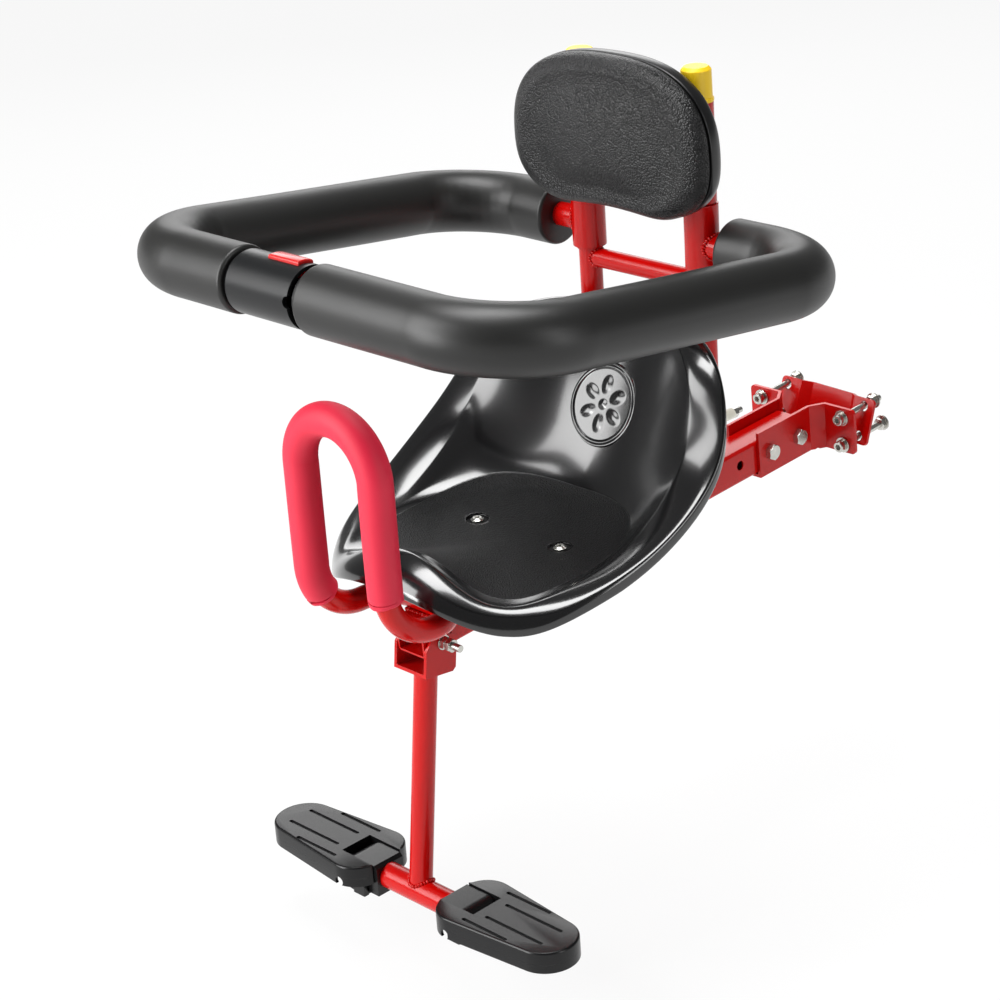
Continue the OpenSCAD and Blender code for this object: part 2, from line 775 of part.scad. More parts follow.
module top_arc(r) {
    translate([0, -handle_y, handle_top]) rotate([90, 0, 0])
        rotate_extrude(angle = 180) translate([handle_x, 0]) circle(r = r);
}
module leg(r) {
    translate([handle_x, -handle_y, handle_low + handle_bend])
        cylinder(r = r, h = handle_top - handle_low - handle_bend);
}
module lower_bend(r, turn) {
    translate([handle_x, -handle_y + handle_bend, handle_low + handle_bend]) rotate([0, 90, 0])
        rotate([0, 0, -90]) rotate_extrude(angle = turn) translate([handle_bend, 0]) circle(r = r);
}
module crossing(r) {
    both_sides() translate([handle_x - loop_bend, -handle_y + handle_bend, handle_low])
        rotate_extrude(angle = 90) translate([loop_bend, 0]) circle(r = r);
    translate([-handle_x + loop_bend, -handle_y + handle_bend + loop_bend, handle_low])
        along_x() cylinder(r = r, h = 2 * (handle_x - loop_bend));
}
module handle_sweep(r) {
    top_arc(r);
    both_sides() {
        leg(r);
        lower_bend(r, 90);
    }
    crossing(r);
}

module handle_tube() {
    color(red) difference() {
        handle_sweep(handle_r);
        top_arc(handle_r - 1.5);
        both_sides() {
            leg(handle_r - 1.5);
            lower_bend(handle_r - 1.5, 90);
        }
        crossing(handle_r - 2);
        beam_block();
    }
}

// The foam reaches further round the lower bend on the child's right
module handle_grip() {
    color(pink) difference() {
        union() {
            top_arc(grip_d / 2);
            both_sides() leg(grip_d / 2);
            lower_bend(grip_d / 2, 10);
            mirror([1, 0, 0]) lower_bend(grip_d / 2, 36);
        }
        handle_sweep(handle_r + 0.05);
    }
}

// Foot post, hung from the front of the beam on one bolt

post_tilt = 7.65;
post_top = [0, -477.6, -58];
post_l = 190.5;
post_bolt_z = 27;
module on_post() { translate(post_top) rotate([-post_tilt, 0, 0]) children(); }
module post_axis() { on_post() translate([-30, 0, post_bolt_z]) along_x() children(); }

module post_bracket() {
    color(red) on_post() difference() {
        union() {
            both_sides() translate([side_in, 0, 0]) rotate([90, 0, 90]) linear_extrude(sheet)
                polygon([[-17, 0], [12, 0], [15, 3], [15, 27], [10, 32.4], [-11, 32.4], [-17, 22]]);
            translate([-side_in - 1, -17, 0]) cube([2 * side_in + 2, 30, sheet]);
        }
        translate([-30, 0, post_bolt_z]) along_x() cylinder(d = m6 + 0.5, h = 60);
    }
}

module post_bolt() {
    color(zinc) on_post() translate([-side_out - 4, 0, post_bolt_z]) along_x() {
        hexagon(10, 4);
        translate([0, 0, 4]) cylinder(d = m6, h = 2 * side_out + 20);
    }
}

module post_nuts() {
    color(zinc) on_post() translate([side_out, 0, post_bolt_z]) along_x() {
        difference() {
            cylinder(d = 12, h = 1.4);
            translate([0, 0, -1]) cylinder(d = m6 + 0.1, h = 4);
        }
        translate([0, 0, 1.5]) hex_nut(10, 5, m6);
        translate([0, 0, 6.6]) hex_nut(10, 5, m6);
    }
}

module foot_post() {
    color(red) difference() {
        on_post() translate([0, 0, -post_l]) pipe(9.5, 1.5, post_l);
        translate([-30, -foot_y, foot_z]) along_x() cylinder(r = 11, h = 60);
    }
}

foot_tube_half = 52;
module foot_tube() {
    color(red) translate([-foot_tube_half, -foot_y, foot_z]) along_x()
        pipe(11, 1.6, 2 * foot_tube_half);
}

// Footrest hub: a moulded plug on the end of the foot tube, with an eye for the hinge pin

module footrest_hub() {
    inner = 36.5;
    difference() {
        translate([0, -footrest_y + hub_w / 2, 0]) rotate([90, 0, 0]) linear_extrude(hub_w) {
            difference() {
                translate([inner, foot_z - hub_r]) square([pin_x - inner, 2 * hub_r - 0.5]);
                translate([inner, foot_z + hub_r - 0.5]) rotate(45) square([4, 4], center = true);
            }
            translate([pin_x, foot_z]) circle(r = hub_r - 0.5);
        }
        translate([inner - 1, -foot_y, foot_z]) along_x()
            cylinder(r = 11.05, h = foot_tube_half - inner + 1.2);
        translate([pin_x, -footrest_y - 30, foot_z]) along_y() cylinder(r = 3.05, h = 60);
    }
}
module footrest_hub_left() { color(black) footrest_hub(); }
module footrest_hub_right() { color(black) mirror([1, 0, 0]) footrest_hub(); }

// Egg outline of a footrest: two round inner corners and one large round end, joined by
// straight sides that touch the circles
egg_r = 23;
egg_end_r = 26;
egg_y = footrest_w / 2 - egg_r;
egg_a = [footrest_in + egg_r, egg_y];
egg_b = [footrest_in + footrest_l - egg_end_r, 0];
egg_l = norm(egg_b - egg_a);
egg_turn = atan2(egg_b[1] - egg_a[1], egg_b[0] - egg_a[0]) + acos((egg_r - egg_end_r) / egg_l);
egg_side = sqrt(egg_l * egg_l - pow(egg_r - egg_end_r, 2));
egg_n = [cos(egg_turn), sin(egg_turn)];

module footrest_outline(inset) {
    ra = egg_r - inset;
    rb = egg_end_r - inset;
    for (s = [-1, 1]) translate([egg_a[0], s * egg_a[1]]) circle(r = ra);
    translate(egg_b) circle(r = rb);
    polygon([[egg_a[0] - ra, egg_a[1]], egg_a, egg_a + ra * egg_n, egg_b + rb * egg_n,
             [egg_b[0] + rb * egg_n[0], -rb * egg_n[1]],
             [egg_a[0] + ra * egg_n[0], -egg_a[1] - ra * egg_n[1]],
             [egg_a[0], -egg_a[1]], [egg_a[0] - ra, -egg_a[1]]]);
}
module groove(x0, x1, y) {
    for (x = [x0, x1]) translate([x, y, footrest_h - 1.4]) cylinder(r = 1.7, h = 3);
    translate([x0, y - 1.7, footrest_h - 1.4]) cube([x1 - x0, 3.4, 3]);
}

module footrest() {
    notch_x = pin_x + hub_r + 1;
    shell = 2.6;
    pin_h = foot_z - footrest_top + footrest_h;
    // Depth of the lugs that hold the pin, with the stop bar between them
    lug = hub_r + 3;
    translate([0, -footrest_y, footrest_top - footrest_h]) difference() {
        union() {
            difference() {
                linear_extrude(footrest_h) footrest_outline(0);
                translate([0, 0, -1]) linear_extrude(footrest_h - 2) footrest_outline(shell);
            }
            for (s = [-1, 1]) {
                translate([footrest_in + 4, s * (notch_w / 2 + 1.5) - 2.5, 0])
                    cube([notch_x - footrest_in, 5, footrest_h - 3]);
                translate([0, s * (notch_w / 2 + 1.5) + 2.5, 0]) rotate([90, 0, 0])
                    linear_extrude(5) {
                        translate([pin_x, pin_h]) circle(r = hub_r + 0.9);
                        translate([pin_x - 13, pin_h - lug]) square([13, lug]);
                    }
                translate([notch_x + 8, s * 11 - 1, 4]) cube([70, 2, footrest_h - 5]);
            }
            translate([notch_x, -notch_w / 2 - 3, 0]) cube([2.6, notch_w + 6, footrest_h - 3]);
            translate([pin_x - 12, -notch_w / 2 - 1, pin_h - lug]) cube([7, notch_w + 2, 8]);
        }
        translate([footrest_in - 10, -notch_w / 2, pin_h - hub_r - 0.05])
            cube([notch_x - footrest_in + 10, notch_w, 60]);
        for (s = [-1, 1]) {
            groove(76, 121, s * 24.5);
            groove(88, 146, s * 11);
        }
        translate([pin_x, -22, pin_h]) along_y() cylinder(r = 3.05, h = 44);
        for (y = [-60, 24]) translate([pin_x, y, pin_h]) along_y() cylinder(r = 4.2, h = 36);
    }
}
module footrest_left() { color(black) footrest(); }
module footrest_right() { color(black) mirror([1, 0, 0]) footrest(); }

module footrest_pin() {
    translate([pin_x, -footrest_y - 21, foot_z]) along_y() cylinder(r = 3, h = 42);
}
module footrest_pin_left() { color(zinc) footrest_pin(); }
module footrest_pin_right() { color(zinc) mirror([1, 0, 0]) footrest_pin(); }

main_beam();
beam_bolts();
beam_nuts();
clamp_bracket();
clamp_plate();
clamp_bolts();
clamp_washers();
clamp_nuts();
seat_bracket();
seat_pan();
seat_screws();
seat_nuts();
back_stay();
back_screws();
back_bolts();
back_spacers();
back_nuts();
backrest_hoop();
upright_crossbar();
guard_sleeve_left();
guard_sleeve_right();
guard_tube_left();
guard_tube_right();
guard_foam_left();
guard_foam_right();
buckle_socket();
buckle_tongue();
release_button();
button_spring();
backrest_tube_left();
backrest_tube_right();
backrest_plate();
backrest_screws();
backrest_shell();
backrest_cushion();
cap_left();
cap_right();
handle_tube();
handle_grip();
post_bracket();
post_bolt();
post_nuts();
foot_post();
foot_tube();
footrest_hub_left();
footrest_hub_right();
footrest_left();
footrest_right();
footrest_pin_left();
footrest_pin_right();
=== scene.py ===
# %% [markdown]
# # Dressing a child bike seat for a studio picture
# The seat is a welded steel frame with a moulded plastic pan, a padded backrest, a foam
# covered guard ring, a foam covered handle and two folding footrests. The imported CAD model
# comes in as a fixed frame in metres. Each cell below makes one piece or one finish on it.

# %% Load the frame
import json
import math

import bmesh
import bpy
import numpy as np
from mathutils import Matrix, Vector


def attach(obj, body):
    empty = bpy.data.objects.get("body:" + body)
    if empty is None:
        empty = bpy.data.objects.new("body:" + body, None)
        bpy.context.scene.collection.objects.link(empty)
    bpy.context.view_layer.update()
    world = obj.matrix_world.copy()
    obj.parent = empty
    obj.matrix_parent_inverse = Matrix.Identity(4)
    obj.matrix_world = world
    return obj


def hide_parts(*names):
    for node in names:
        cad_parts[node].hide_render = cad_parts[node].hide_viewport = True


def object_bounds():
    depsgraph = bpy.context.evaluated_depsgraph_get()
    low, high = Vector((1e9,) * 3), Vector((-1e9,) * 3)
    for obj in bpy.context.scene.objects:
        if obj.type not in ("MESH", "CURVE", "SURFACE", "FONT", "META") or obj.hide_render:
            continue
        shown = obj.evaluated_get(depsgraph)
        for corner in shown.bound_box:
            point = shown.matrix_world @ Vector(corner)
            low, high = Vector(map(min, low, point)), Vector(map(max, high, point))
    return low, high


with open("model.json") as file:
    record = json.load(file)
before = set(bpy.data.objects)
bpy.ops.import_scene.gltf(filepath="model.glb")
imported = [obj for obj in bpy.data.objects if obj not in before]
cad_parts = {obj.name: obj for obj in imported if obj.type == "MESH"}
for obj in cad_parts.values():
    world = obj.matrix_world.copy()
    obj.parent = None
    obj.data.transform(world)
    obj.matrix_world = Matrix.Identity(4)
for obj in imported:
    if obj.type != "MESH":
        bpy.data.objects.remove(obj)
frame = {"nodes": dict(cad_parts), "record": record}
cad_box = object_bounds()
scene = bpy.context.scene
MM = 0.001


def rounded(box):
    return [tuple(round(v, 4) for v in corner) for corner in box]


def carried(matrix, points):
    """The points where this matrix carries them."""
    return [tuple(matrix @ Vector(point)) for point in points]


print("CAD nodes:", len(frame["nodes"]), "CAD box:", rounded(cad_box))

# %% [markdown]
# The camera comes first. The picture shows the seat from its front left, from above. The
# three directions below are the camera's right, up and back, worked out once from the
# straight edges of the frame. The lens is long, so the perspective is gentle.

# %% Camera at the photograph's view
camera_place = Vector((1.34296, -1.64637, 0.82887))
camera_right = Vector((0.70278, 0.70840, -0.06543)).normalized()
camera_back = Vector((0.67192, -0.63073, 0.38821)).normalized()
camera_up = camera_back.cross(camera_right)
camera_data = bpy.data.cameras.new("studio_camera")
camera_data.sensor_width, camera_data.lens = 36, 91.56
camera_data.clip_end = 60
camera = bpy.data.objects.new("studio_camera", camera_data)
camera_turn = Matrix((camera_right, camera_up, camera_back)).transposed().to_4x4()
camera.matrix_world = Matrix.Translation(camera_place) @ camera_turn
scene.collection.objects.link(camera)
scene.camera = camera
scene.view_settings.view_transform = "Standard"
print("camera", round(camera_data.lens, 2), "mm")

# %% [markdown]
# ## Small helpers for finishes
# Colours are written as sRGB hex values, as a paint chart gives them, and one function
# turns them to the linear values that a shader wants. Another adds one node, sets what it
# is told and links what it is given. A third starts a material, and the last lets its
# colour drift between two close tones, because no real surface has only one.

# %% Colour and node helpers
def paint(code):
    """Linear colour with full alpha from an sRGB hex code."""
    parts = [int(code[i:i + 2], 16) / 255 for i in (0, 2, 4)]
    linear = [c / 12.92 if c <= 0.04045 else ((c + 0.055) / 1.055) ** 2.4 for c in parts]
    return (*linear, 1)


def add(tree, kind, values=None, **settings):
    """Adds a node. A value that is a socket is linked, any other is set."""
    node = tree.nodes.new(kind)
    for key, value in settings.items():
        setattr(node, key, value)
    for key, value in (values or {}).items():
        if isinstance(value, bpy.types.NodeSocket):
            tree.links.new(value, node.inputs[key])
        else:
            node.inputs[key].default_value = value
    return node


def new_finish(name, **plain):
    """A material with a Principled shader whose plain values are set on its own sockets."""
    material = bpy.data.materials.new(name)
    material.use_nodes = True
    tree = material.node_tree
    shader = tree.nodes["Principled BSDF"]
    for key, value in plain.items():
        shader.inputs[key.replace("_", " ").title().replace("Ior", "IOR")].default_value = value
    place = add(tree, "ShaderNodeTexCoord").outputs["Object"]
    return material, tree, shader, place


def two_tones(tree, shader, place, first, second, scale, detail):
    """A base colour that drifts between two tones with a noise, which it gives back."""
    drift = add(tree, "ShaderNodeTexNoise", {"Vector": place, "Scale": scale, "Detail": detail})
    tone = add(tree, "ShaderNodeMix", {0: drift.outputs[0], 6: paint(first), 7: paint(second)},
               data_type="RGBA")
    tree.links.new(tone.outputs[2], shader.inputs["Base Color"])
    return drift.outputs[0]

# %% [markdown]
# ## Powder coat on welded steel tube
# Red polyester powder, baked on: glossy, with a faint orange peel about 1.5 mm across that
# breaks up the highlights. The colour drifts a little from place to place, as a sprayed
# coat does.

# %% Red powder coat
powder_coat, tree, shader, place = new_finish(
    "red_powder_coat", Roughness=0.21, Specular_ior_level=0.33)
two_tones(tree, shader, place, "bc0402", "ae0402", 14.0, 2.0)
peel = add(tree, "ShaderNodeTexNoise", {"Vector": place, "Scale": 1 / (1.5 * MM), "Detail": 1.0})
bump = add(tree, "ShaderNodeBump", {"Height": peel.outputs[0], "Strength": 0.3,
                                    "Distance": 0.06 * MM})
tree.links.new(bump.outputs[0], shader.inputs["Normal"])
print(powder_coat.name)

# %% [markdown]
# ## Zinc plate on the bolts
# Bright zinc on steel hardware is a soft mirror, slightly blotchy where the bath left it
# thicker. A metal keeps the default IOR.

# %% Bright zinc plate
zinc_plate, tree, shader, place = new_finish("bright_zinc_plate", Metallic=1.0)
blotch = two_tones(tree, shader, place, "d9d8d2", "b9b8b2", 160.0, 3.0)
rough = add(tree, "ShaderNodeMapRange", {"Value": blotch, "To Min": 0.14, "To Max": 0.34})
tree.links.new(rough.outputs[0], shader.inputs["Roughness"])
print(zinc_plate.name)

# %% [markdown]
# ## Plastics
# The pan is blow moulded polyethylene, polished on its walls and rim and spark grained on
# its floor. The floor's area comes from an attribute on the mesh, because the grain follows
# the moulding. The grain is drawn at 1.3 mm, a little coarser than real, so that it shows.
# The polish is a second, sharper layer of reflection that ends where the grain begins, so
# three of the shader's values change from the wall to the floor.

# %% Polished and grained pan plastic
pan_plastic, tree, shader, place = new_finish("moulded_black_pan_plastic", Coat_roughness=0.12)
shader.inputs["Base Color"].default_value = paint("060607")
floor_area = add(tree, "ShaderNodeAttribute", attribute_name="floor_area")
grained = add(tree, "ShaderNodeMapRange", {"Value": floor_area.outputs["Fac"], "From Min": 0.35,
                                           "From Max": 0.65})
cells = add(tree, "ShaderNodeTexVoronoi", {"Vector": place, "Scale": 1 / (1.3 * MM)})
clouds = add(tree, "ShaderNodeTexNoise", {"Vector": place, "Scale": 1 / (2.2 * MM), "Detail": 4.0})
height = add(tree, "ShaderNodeMath", {0: cells.outputs["Distance"], 1: clouds.outputs[0]},
             operation="MULTIPLY")
height = add(tree, "ShaderNodeMath", {0: height.outputs[0], 1: grained.outputs[0]},
             operation="MULTIPLY")
waves = add(tree, "ShaderNodeTexNoise", {"Vector": place, "Scale": 9.0, "Detail": 0.0})
slow = add(tree, "ShaderNodeBump", {"Height": waves.outputs[0], "Strength": 0.25,
                                    "Distance": 4 * MM})
bump = add(tree, "ShaderNodeBump", {"Height": height.outputs[0], "Strength": 1.0,
                                    "Distance": 1.4 * MM, "Normal": slow.outputs[0]})
tree.links.new(bump.outputs[0], shader.inputs["Normal"])
for socket, on_wall, on_floor in (("Roughness", 0.2, 0.5), ("Coat Weight", 0.8, 0.0),
                                  ("Specular IOR Level", 0.5, 0.2)):
    change = add(tree, "ShaderNodeMapRange", {"Value": grained.outputs[0], "To Min": on_wall,
                                              "To Max": on_floor})
    tree.links.new(change.outputs[0], shader.inputs[socket])
print(pan_plastic.name)

# %% [markdown]
# Smaller mouldings are satin or glossy ABS and nylon. One function gives each its colour,
# gloss and texture, because they differ only in those numbers. The footrests also have a
# parting line of the mould round their skirt.

# %% Satin and glossy mouldings
def moulded(name, colour, second, roughness, grain_mm, depth, specular=0.5):
    """Moulded plastic: two close tones, a fine texture of the tool's surface and its gloss."""
    material, tree, shader, place = new_finish(name, Roughness=roughness,
                                               Specular_ior_level=specular)
    two_tones(tree, shader, place, colour, second, 30.0, 2.0)
    grain = add(tree, "ShaderNodeTexNoise", {"Vector": place, "Scale": 1 / (grain_mm * MM),
                                             "Detail": 2.0})
    bump = add(tree, "ShaderNodeBump", {"Height": grain.outputs[0], "Strength": depth,
                                        "Distance": 0.2 * MM})
    tree.links.new(bump.outputs[0], shader.inputs["Normal"])
    return material


shell_plastic = moulded("satin_black_shell_plastic", "0c0c0d", "101011", 0.3, 0.8, 0.12)
buckle_plastic = moulded("satin_dark_grey_buckle_plastic", "101112", "151617", 0.32, 0.7, 0.15,
                         specular=0.32)
button_plastic = moulded("glossy_red_button_plastic", "bc0604", "b00503", 0.24, 2.0, 0.03)
cap_plastic = moulded("glossy_yellow_cap_plastic", "fbd11c", "f4c816", 0.4, 1.2, 0.1)
footrest_plastic = moulded("semi_gloss_black_footrest_plastic", "0b0b0c", "101011", 0.26, 0.6, 0.16,
                           specular=0.34)
MOULD_LINE_Z, MOULD_LINE_HALF = -242.5 * MM, 0.35 * MM
tree = footrest_plastic.node_tree
place = next(n for n in tree.nodes if n.type == "TEX_COORD").outputs["Object"]
level = add(tree, "ShaderNodeSeparateXYZ", {0: place})
line = add(tree, "ShaderNodeMath", {0: level.outputs["Z"], 1: MOULD_LINE_Z, 2: MOULD_LINE_HALF},
           operation="COMPARE")
surface = next(n for n in tree.nodes if n.type == "BUMP")
mould_line = add(tree, "ShaderNodeBump", {"Height": line.outputs[0], "Strength": 0.8,
                                          "Distance": 0.4 * MM, "Normal": surface.outputs[0]},
                 invert=True)
tree.links.new(mould_line.outputs[0], tree.nodes["Principled BSDF"].inputs["Normal"])
nylon = moulded("natural_nylon", "e4e2d4", "dad8c8", 0.45, 1.0, 0.1)
print("plastics:", shell_plastic.name, buckle_plastic.name, footrest_plastic.name)

# %% [markdown]
# ## Foams and soft skin
# The guard is wrapped in closed-cell EVA foam with a smooth satin skin. The grip is softer
# NBR foam, pinkish red and nearly matt. The backrest has a self-skinned polyurethane face
# with a pebble grain of under 2 mm: each pebble is the dome over one Voronoi cell. The valleys
# between the pebbles are painted darker, as painted shade.

# %% Foam skins and the pebbled cushion skin
def foam_skin(name, colour, second, roughness, cell_mm, depth, sheen):
    """Foam with a closed skin: fine cells, a slow unevenness and a soft sheen."""
    material, tree, shader, place = new_finish(name, Roughness=roughness, Sheen_weight=sheen,
                                               Sheen_roughness=0.5)
    two_tones(tree, shader, place, colour, second, 12.0, 3.0)
    cells = add(tree, "ShaderNodeTexNoise", {"Vector": place, "Scale": 1 / (cell_mm * MM),
                                             "Detail": 3.0, "Roughness": 0.6})
    slow = add(tree, "ShaderNodeTexNoise", {"Vector": place, "Scale": 22.0, "Detail": 1.0})
    wide = add(tree, "ShaderNodeBump", {"Height": slow.outputs[0], "Strength": 0.25,
                                        "Distance": 1.5 * MM})
    fine = add(tree, "ShaderNodeBump", {"Height": cells.outputs[0], "Strength": depth,
                                        "Distance": 0.3 * MM, "Normal": wide.outputs[0]})
    tree.links.new(fine.outputs[0], shader.inputs["Normal"])
    return material


guard_foam_skin = foam_skin("closed_cell_eva_foam", "141413", "191918", 0.42, 0.9, 0.22, 0.0)
grip_foam_skin = foam_skin("soft_red_nbr_foam", "d60736", "c4062e", 0.58, 0.8, 0.35, 0.04)

cushion_skin, tree, shader, place = new_finish("pebbled_polyurethane_skin", Roughness=0.3,
                                               Specular_ior_level=0.4)
pebbles = add(tree, "ShaderNodeTexVoronoi", {"Vector": place, "Scale": 1 / (1.5 * MM)})
uneven = add(tree, "ShaderNodeTexNoise", {"Vector": place, "Scale": 1 / (2 * MM), "Detail": 1.0})
pebble_height = add(tree, "ShaderNodeMath", {0: uneven.outputs[0], 1: 0.1,
                                             2: pebbles.outputs["Distance"]},
                    operation="MULTIPLY_ADD")
bump = add(tree, "ShaderNodeBump", {"Height": pebble_height.outputs[0], "Strength": 0.8,
                                    "Distance": 0.9 * MM}, invert=True)
tree.links.new(bump.outputs[0], shader.inputs["Normal"])
# painted shade: the colour darkens from each pebble's top towards the valleys between the pebbles
tone = add(tree, "ShaderNodeMix", {0: pebbles.outputs["Distance"], 6: paint("0c0c0d"),
                                   7: paint("050506")}, data_type="RGBA")
tree.links.new(tone.outputs[2], shader.inputs["Base Color"])
print("soft finishes:", guard_foam_skin.name, grip_foam_skin.name, cushion_skin.name)

# %% [markdown]
# ## From CAD solids to finished parts
# The CAD model arrives as loose triangles with hard edges. Real pressed and moulded parts
# have small radii that catch the light. For every rigid part a copy is merged, its flat
# faces are joined, its edges get a narrow bevel, and the curved faces are shaded smooth.
# Two kinds of part also get a wider radius on chosen edges: the footrests and the button.

# %% Dressing a rigid CAD part
FINISH = {
    "powder_coat_red": powder_coat, "zinc": zinc_plate, "nylon": nylon,
    "pan_plastic": pan_plastic, "shell_plastic": shell_plastic, "cushion_skin": cushion_skin,
    "guard_foam": guard_foam_skin, "buckle_plastic": buckle_plastic,
    "button_plastic": button_plastic, "cap_plastic": cap_plastic, "grip_foam": grip_foam_skin,
    "footrest_plastic": footrest_plastic}
SLOT = {row["node"]: row["material_slot"] for row in frame["record"]["subparts"]}
BODY = {node: body for body, nodes in frame["record"]["behaviour"]["bodies"].items()
        for node in nodes}
MERGE_MM, FLAT_ANGLE, BEVEL_ANGLE = 0.004, math.radians(0.6), math.radians(40)
stood_for = set()


def link_mesh(name, mesh, material=None):
    """A new object at the origin that shows this mesh, in this finish if one is given."""
    if material:
        mesh.materials.clear()
        mesh.materials.append(material)
    thing = bpy.data.objects.new(name, mesh)
    scene.collection.objects.link(thing)
    return thing


def bake_modifiers(thing):
    """Turns what the modifiers make into the object's plain mesh, and removes them."""
    seen = thing.evaluated_get(bpy.context.evaluated_depsgraph_get())
    mesh = bpy.data.meshes.new_from_object(seen)
    thing.modifiers.clear()
    thing.data = mesh


def mark_sharp(bm, degrees):
    """Smooth faces, with an edge kept sharp where two faces meet at more than this angle."""
    for face in bm.faces:
        face.smooth = True
    for edge in bm.edges:
        edge.smooth = len(edge.link_faces) == 2 and edge.calc_face_angle(0) < math.radians(degrees)


def stand_for(thing, node):
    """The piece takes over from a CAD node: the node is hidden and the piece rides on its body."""
    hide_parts(node)
    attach(thing, BODY[node])
    stood_for.add(node)


def outline_edges(bm, top, keep_sharp):
    """The edges at the top's level that end a wall over 5 mm deep, other than the ones kept."""
    def deep_wall(face):
        levels = [v.co.z for v in face.verts]
        return max(levels) - min(levels) > 5 * MM and abs(face.normal.z) < 0.3

    return [e for e in bm.edges
            if len(e.link_faces) == 2 and all(abs(v.co.z - top) <= 2e-5 for v in e.verts)
            and not keep_sharp((e.verts[0].co + e.verts[1].co) / 2)
            and any(deep_wall(f) for f in e.link_faces)]


def crown_edges(bm, place, above):
    """The sharp edges that lie above a level, seen in the part's own tilted frame."""
    back = place.inverted()
    return [e for e in bm.edges if len(e.link_faces) == 2
            and min((back @ (v.co / MM)).z for v in e.verts) > above
            and e.calc_face_angle(0) > BEVEL_ANGLE]


def dress(node, edge_mm, radius_mm=0, choose=None, *about):
    """A merged copy of a CAD part in its own finish, with narrow bevels. First the edges
    that choose(mesh, *about) picks are rounded with a radius of radius_mm."""
    bm = bmesh.new()
    bm.from_mesh(frame["nodes"][node].data)
    bmesh.ops.remove_doubles(bm, verts=bm.verts, dist=MERGE_MM * MM)
    bmesh.ops.dissolve_limit(bm, angle_limit=FLAT_ANGLE, verts=bm.verts, edges=bm.edges)
    if choose:
        made = bmesh.ops.bevel(bm, geom=choose(bm, *about), offset=radius_mm * MM,
                               offset_type="OFFSET", segments=5, profile=0.5, affect="EDGES",
                               clamp_overlap=False)
        print(node, "rounded faces:", len(made["faces"]))
    mark_sharp(bm, 32)
    mesh = bpy.data.meshes.new(node + "_finished")
    bm.to_mesh(mesh)
    bm.free()
    thing = link_mesh(node + "_finished", mesh, FINISH[SLOT[node]])
    if edge_mm:
        bevel = thing.modifiers.new("edges", "BEVEL")
        bevel.width = edge_mm * MM
        bevel.segments = 2
        bevel.limit_method = "ANGLE"
        bevel.angle_limit = BEVEL_ANGLE
        bevel.harden_normals = True
        bake_modifiers(thing)
    stand_for(thing, node)

# %% [markdown]
# ## The pan
# The pan is the hardest shape: a scoop whose rim rolls outwards and whose front rises to a
# crest between the legs. It is described by three lines, each through fourteen places from
# the middle of the back to the middle of the front: the floor's edge, the rim's inner line
# and the rim's outer edge. Here the same lines are sampled much more finely.

# %% Lines of the pan, in millimetres
PAN_FLOOR = [
    (0, -290, 36), (25, -291, 36), (48, -297, 35), (68, -307, 33), (83, -320, 30),
    (94, -337, 27), (101, -356, 25), (105, -380, 23), (105, -408, 22), (101, -437, 20),
    (90, -460, 17), (66, -474, 20), (38, -478, 33), (0, -478, 44)]
PAN_INNER = [
    (0, -231, 163), (45, -235, 161), (80, -260, 154), (102, -274, 138), (113, -287, 112),
    (117, -303, 82), (117, -335, 54), (115, -372, 33), (112, -405, 26), (107, -438, 22),
    (96, -463, 18), (72, -482, 20), (40, -487, 38), (0, -487, 49)]
PAN_OUTER = [
    (0, -219, 164), (52, -224, 163), (99, -244, 157), (125, -261, 140), (142, -276, 114),
    (151, -297, 84), (153, -333, 60), (149, -372, 39), (141, -408, 26), (129, -444, 13),
    (110, -470, 2), (84, -492, 3), (48, -514, 22), (0, -516, 26)]
PAN_CENTRE = np.array([0, -375, 17.5])
PAN_WALL, LIP_ROUND = 3.6, 1.3
FLOOR_REACH = 0.78
print("pan places:", len(PAN_FLOOR), "on each of three lines")


def curve_through(before, table, after, s):
    """Points on a Catmull-Rom curve through a table, for s from 0 at its start to 1."""
    points = np.vstack([before, table, after])
    u = s * (len(table) - 1)
    i = np.minimum(np.floor(u).astype(int), len(table) - 2)
    t = (u - i)[:, None]
    a, b, c, d = points[i], points[i + 1], points[i + 2], points[i + 3]
    return 0.5 * (2 * b + (c - a) * t + (2 * a - 5 * b + 4 * c - d) * t ** 2
                  + (3 * b - a - 3 * c + d) * t ** 3)


def around_pan(table, count):
    """The line right round the pan: down the child's left and back up the right. The line
    mirrors across the middle at both of its ends, so it has no corner there."""
    j = np.arange(count)
    s = np.where(j <= count / 2, 2 * j / count, 2 - 2 * j / count)
    table, mirror = np.array(table, float), np.array([-1, 1, 1])
    points = curve_through(table[1] * mirror, table, table[-2] * mirror, s)
    points[j > count / 2, 0] *= -1
    return points, s


def smooth_loop(points, reach):
    """A loop of points without its small waves. A second pass gives back the true corners."""
    count = len(points)
    wave = np.fft.fftfreq(count)
    keep = np.exp(-0.5 * (2 * np.pi * wave * reach) ** 2)
    keep = 2 * keep - keep ** 2
    return np.real(np.fft.ifft(np.fft.fft(points, axis=0) * keep[:, None], axis=0))


def unit_rows(v):
    """Each vector at length 1."""
    return v / np.maximum(np.linalg.norm(v, axis=-1, keepdims=True), 1e-9)

# %% [markdown]
# The rows run from the middle of the floor over the bend, the wall and the rolled rim down
# to the lip. The under side is the same surface moved inwards by the wall, and a half round
# joins the two at the lip. A vertex attribute remembers which rows are floor.

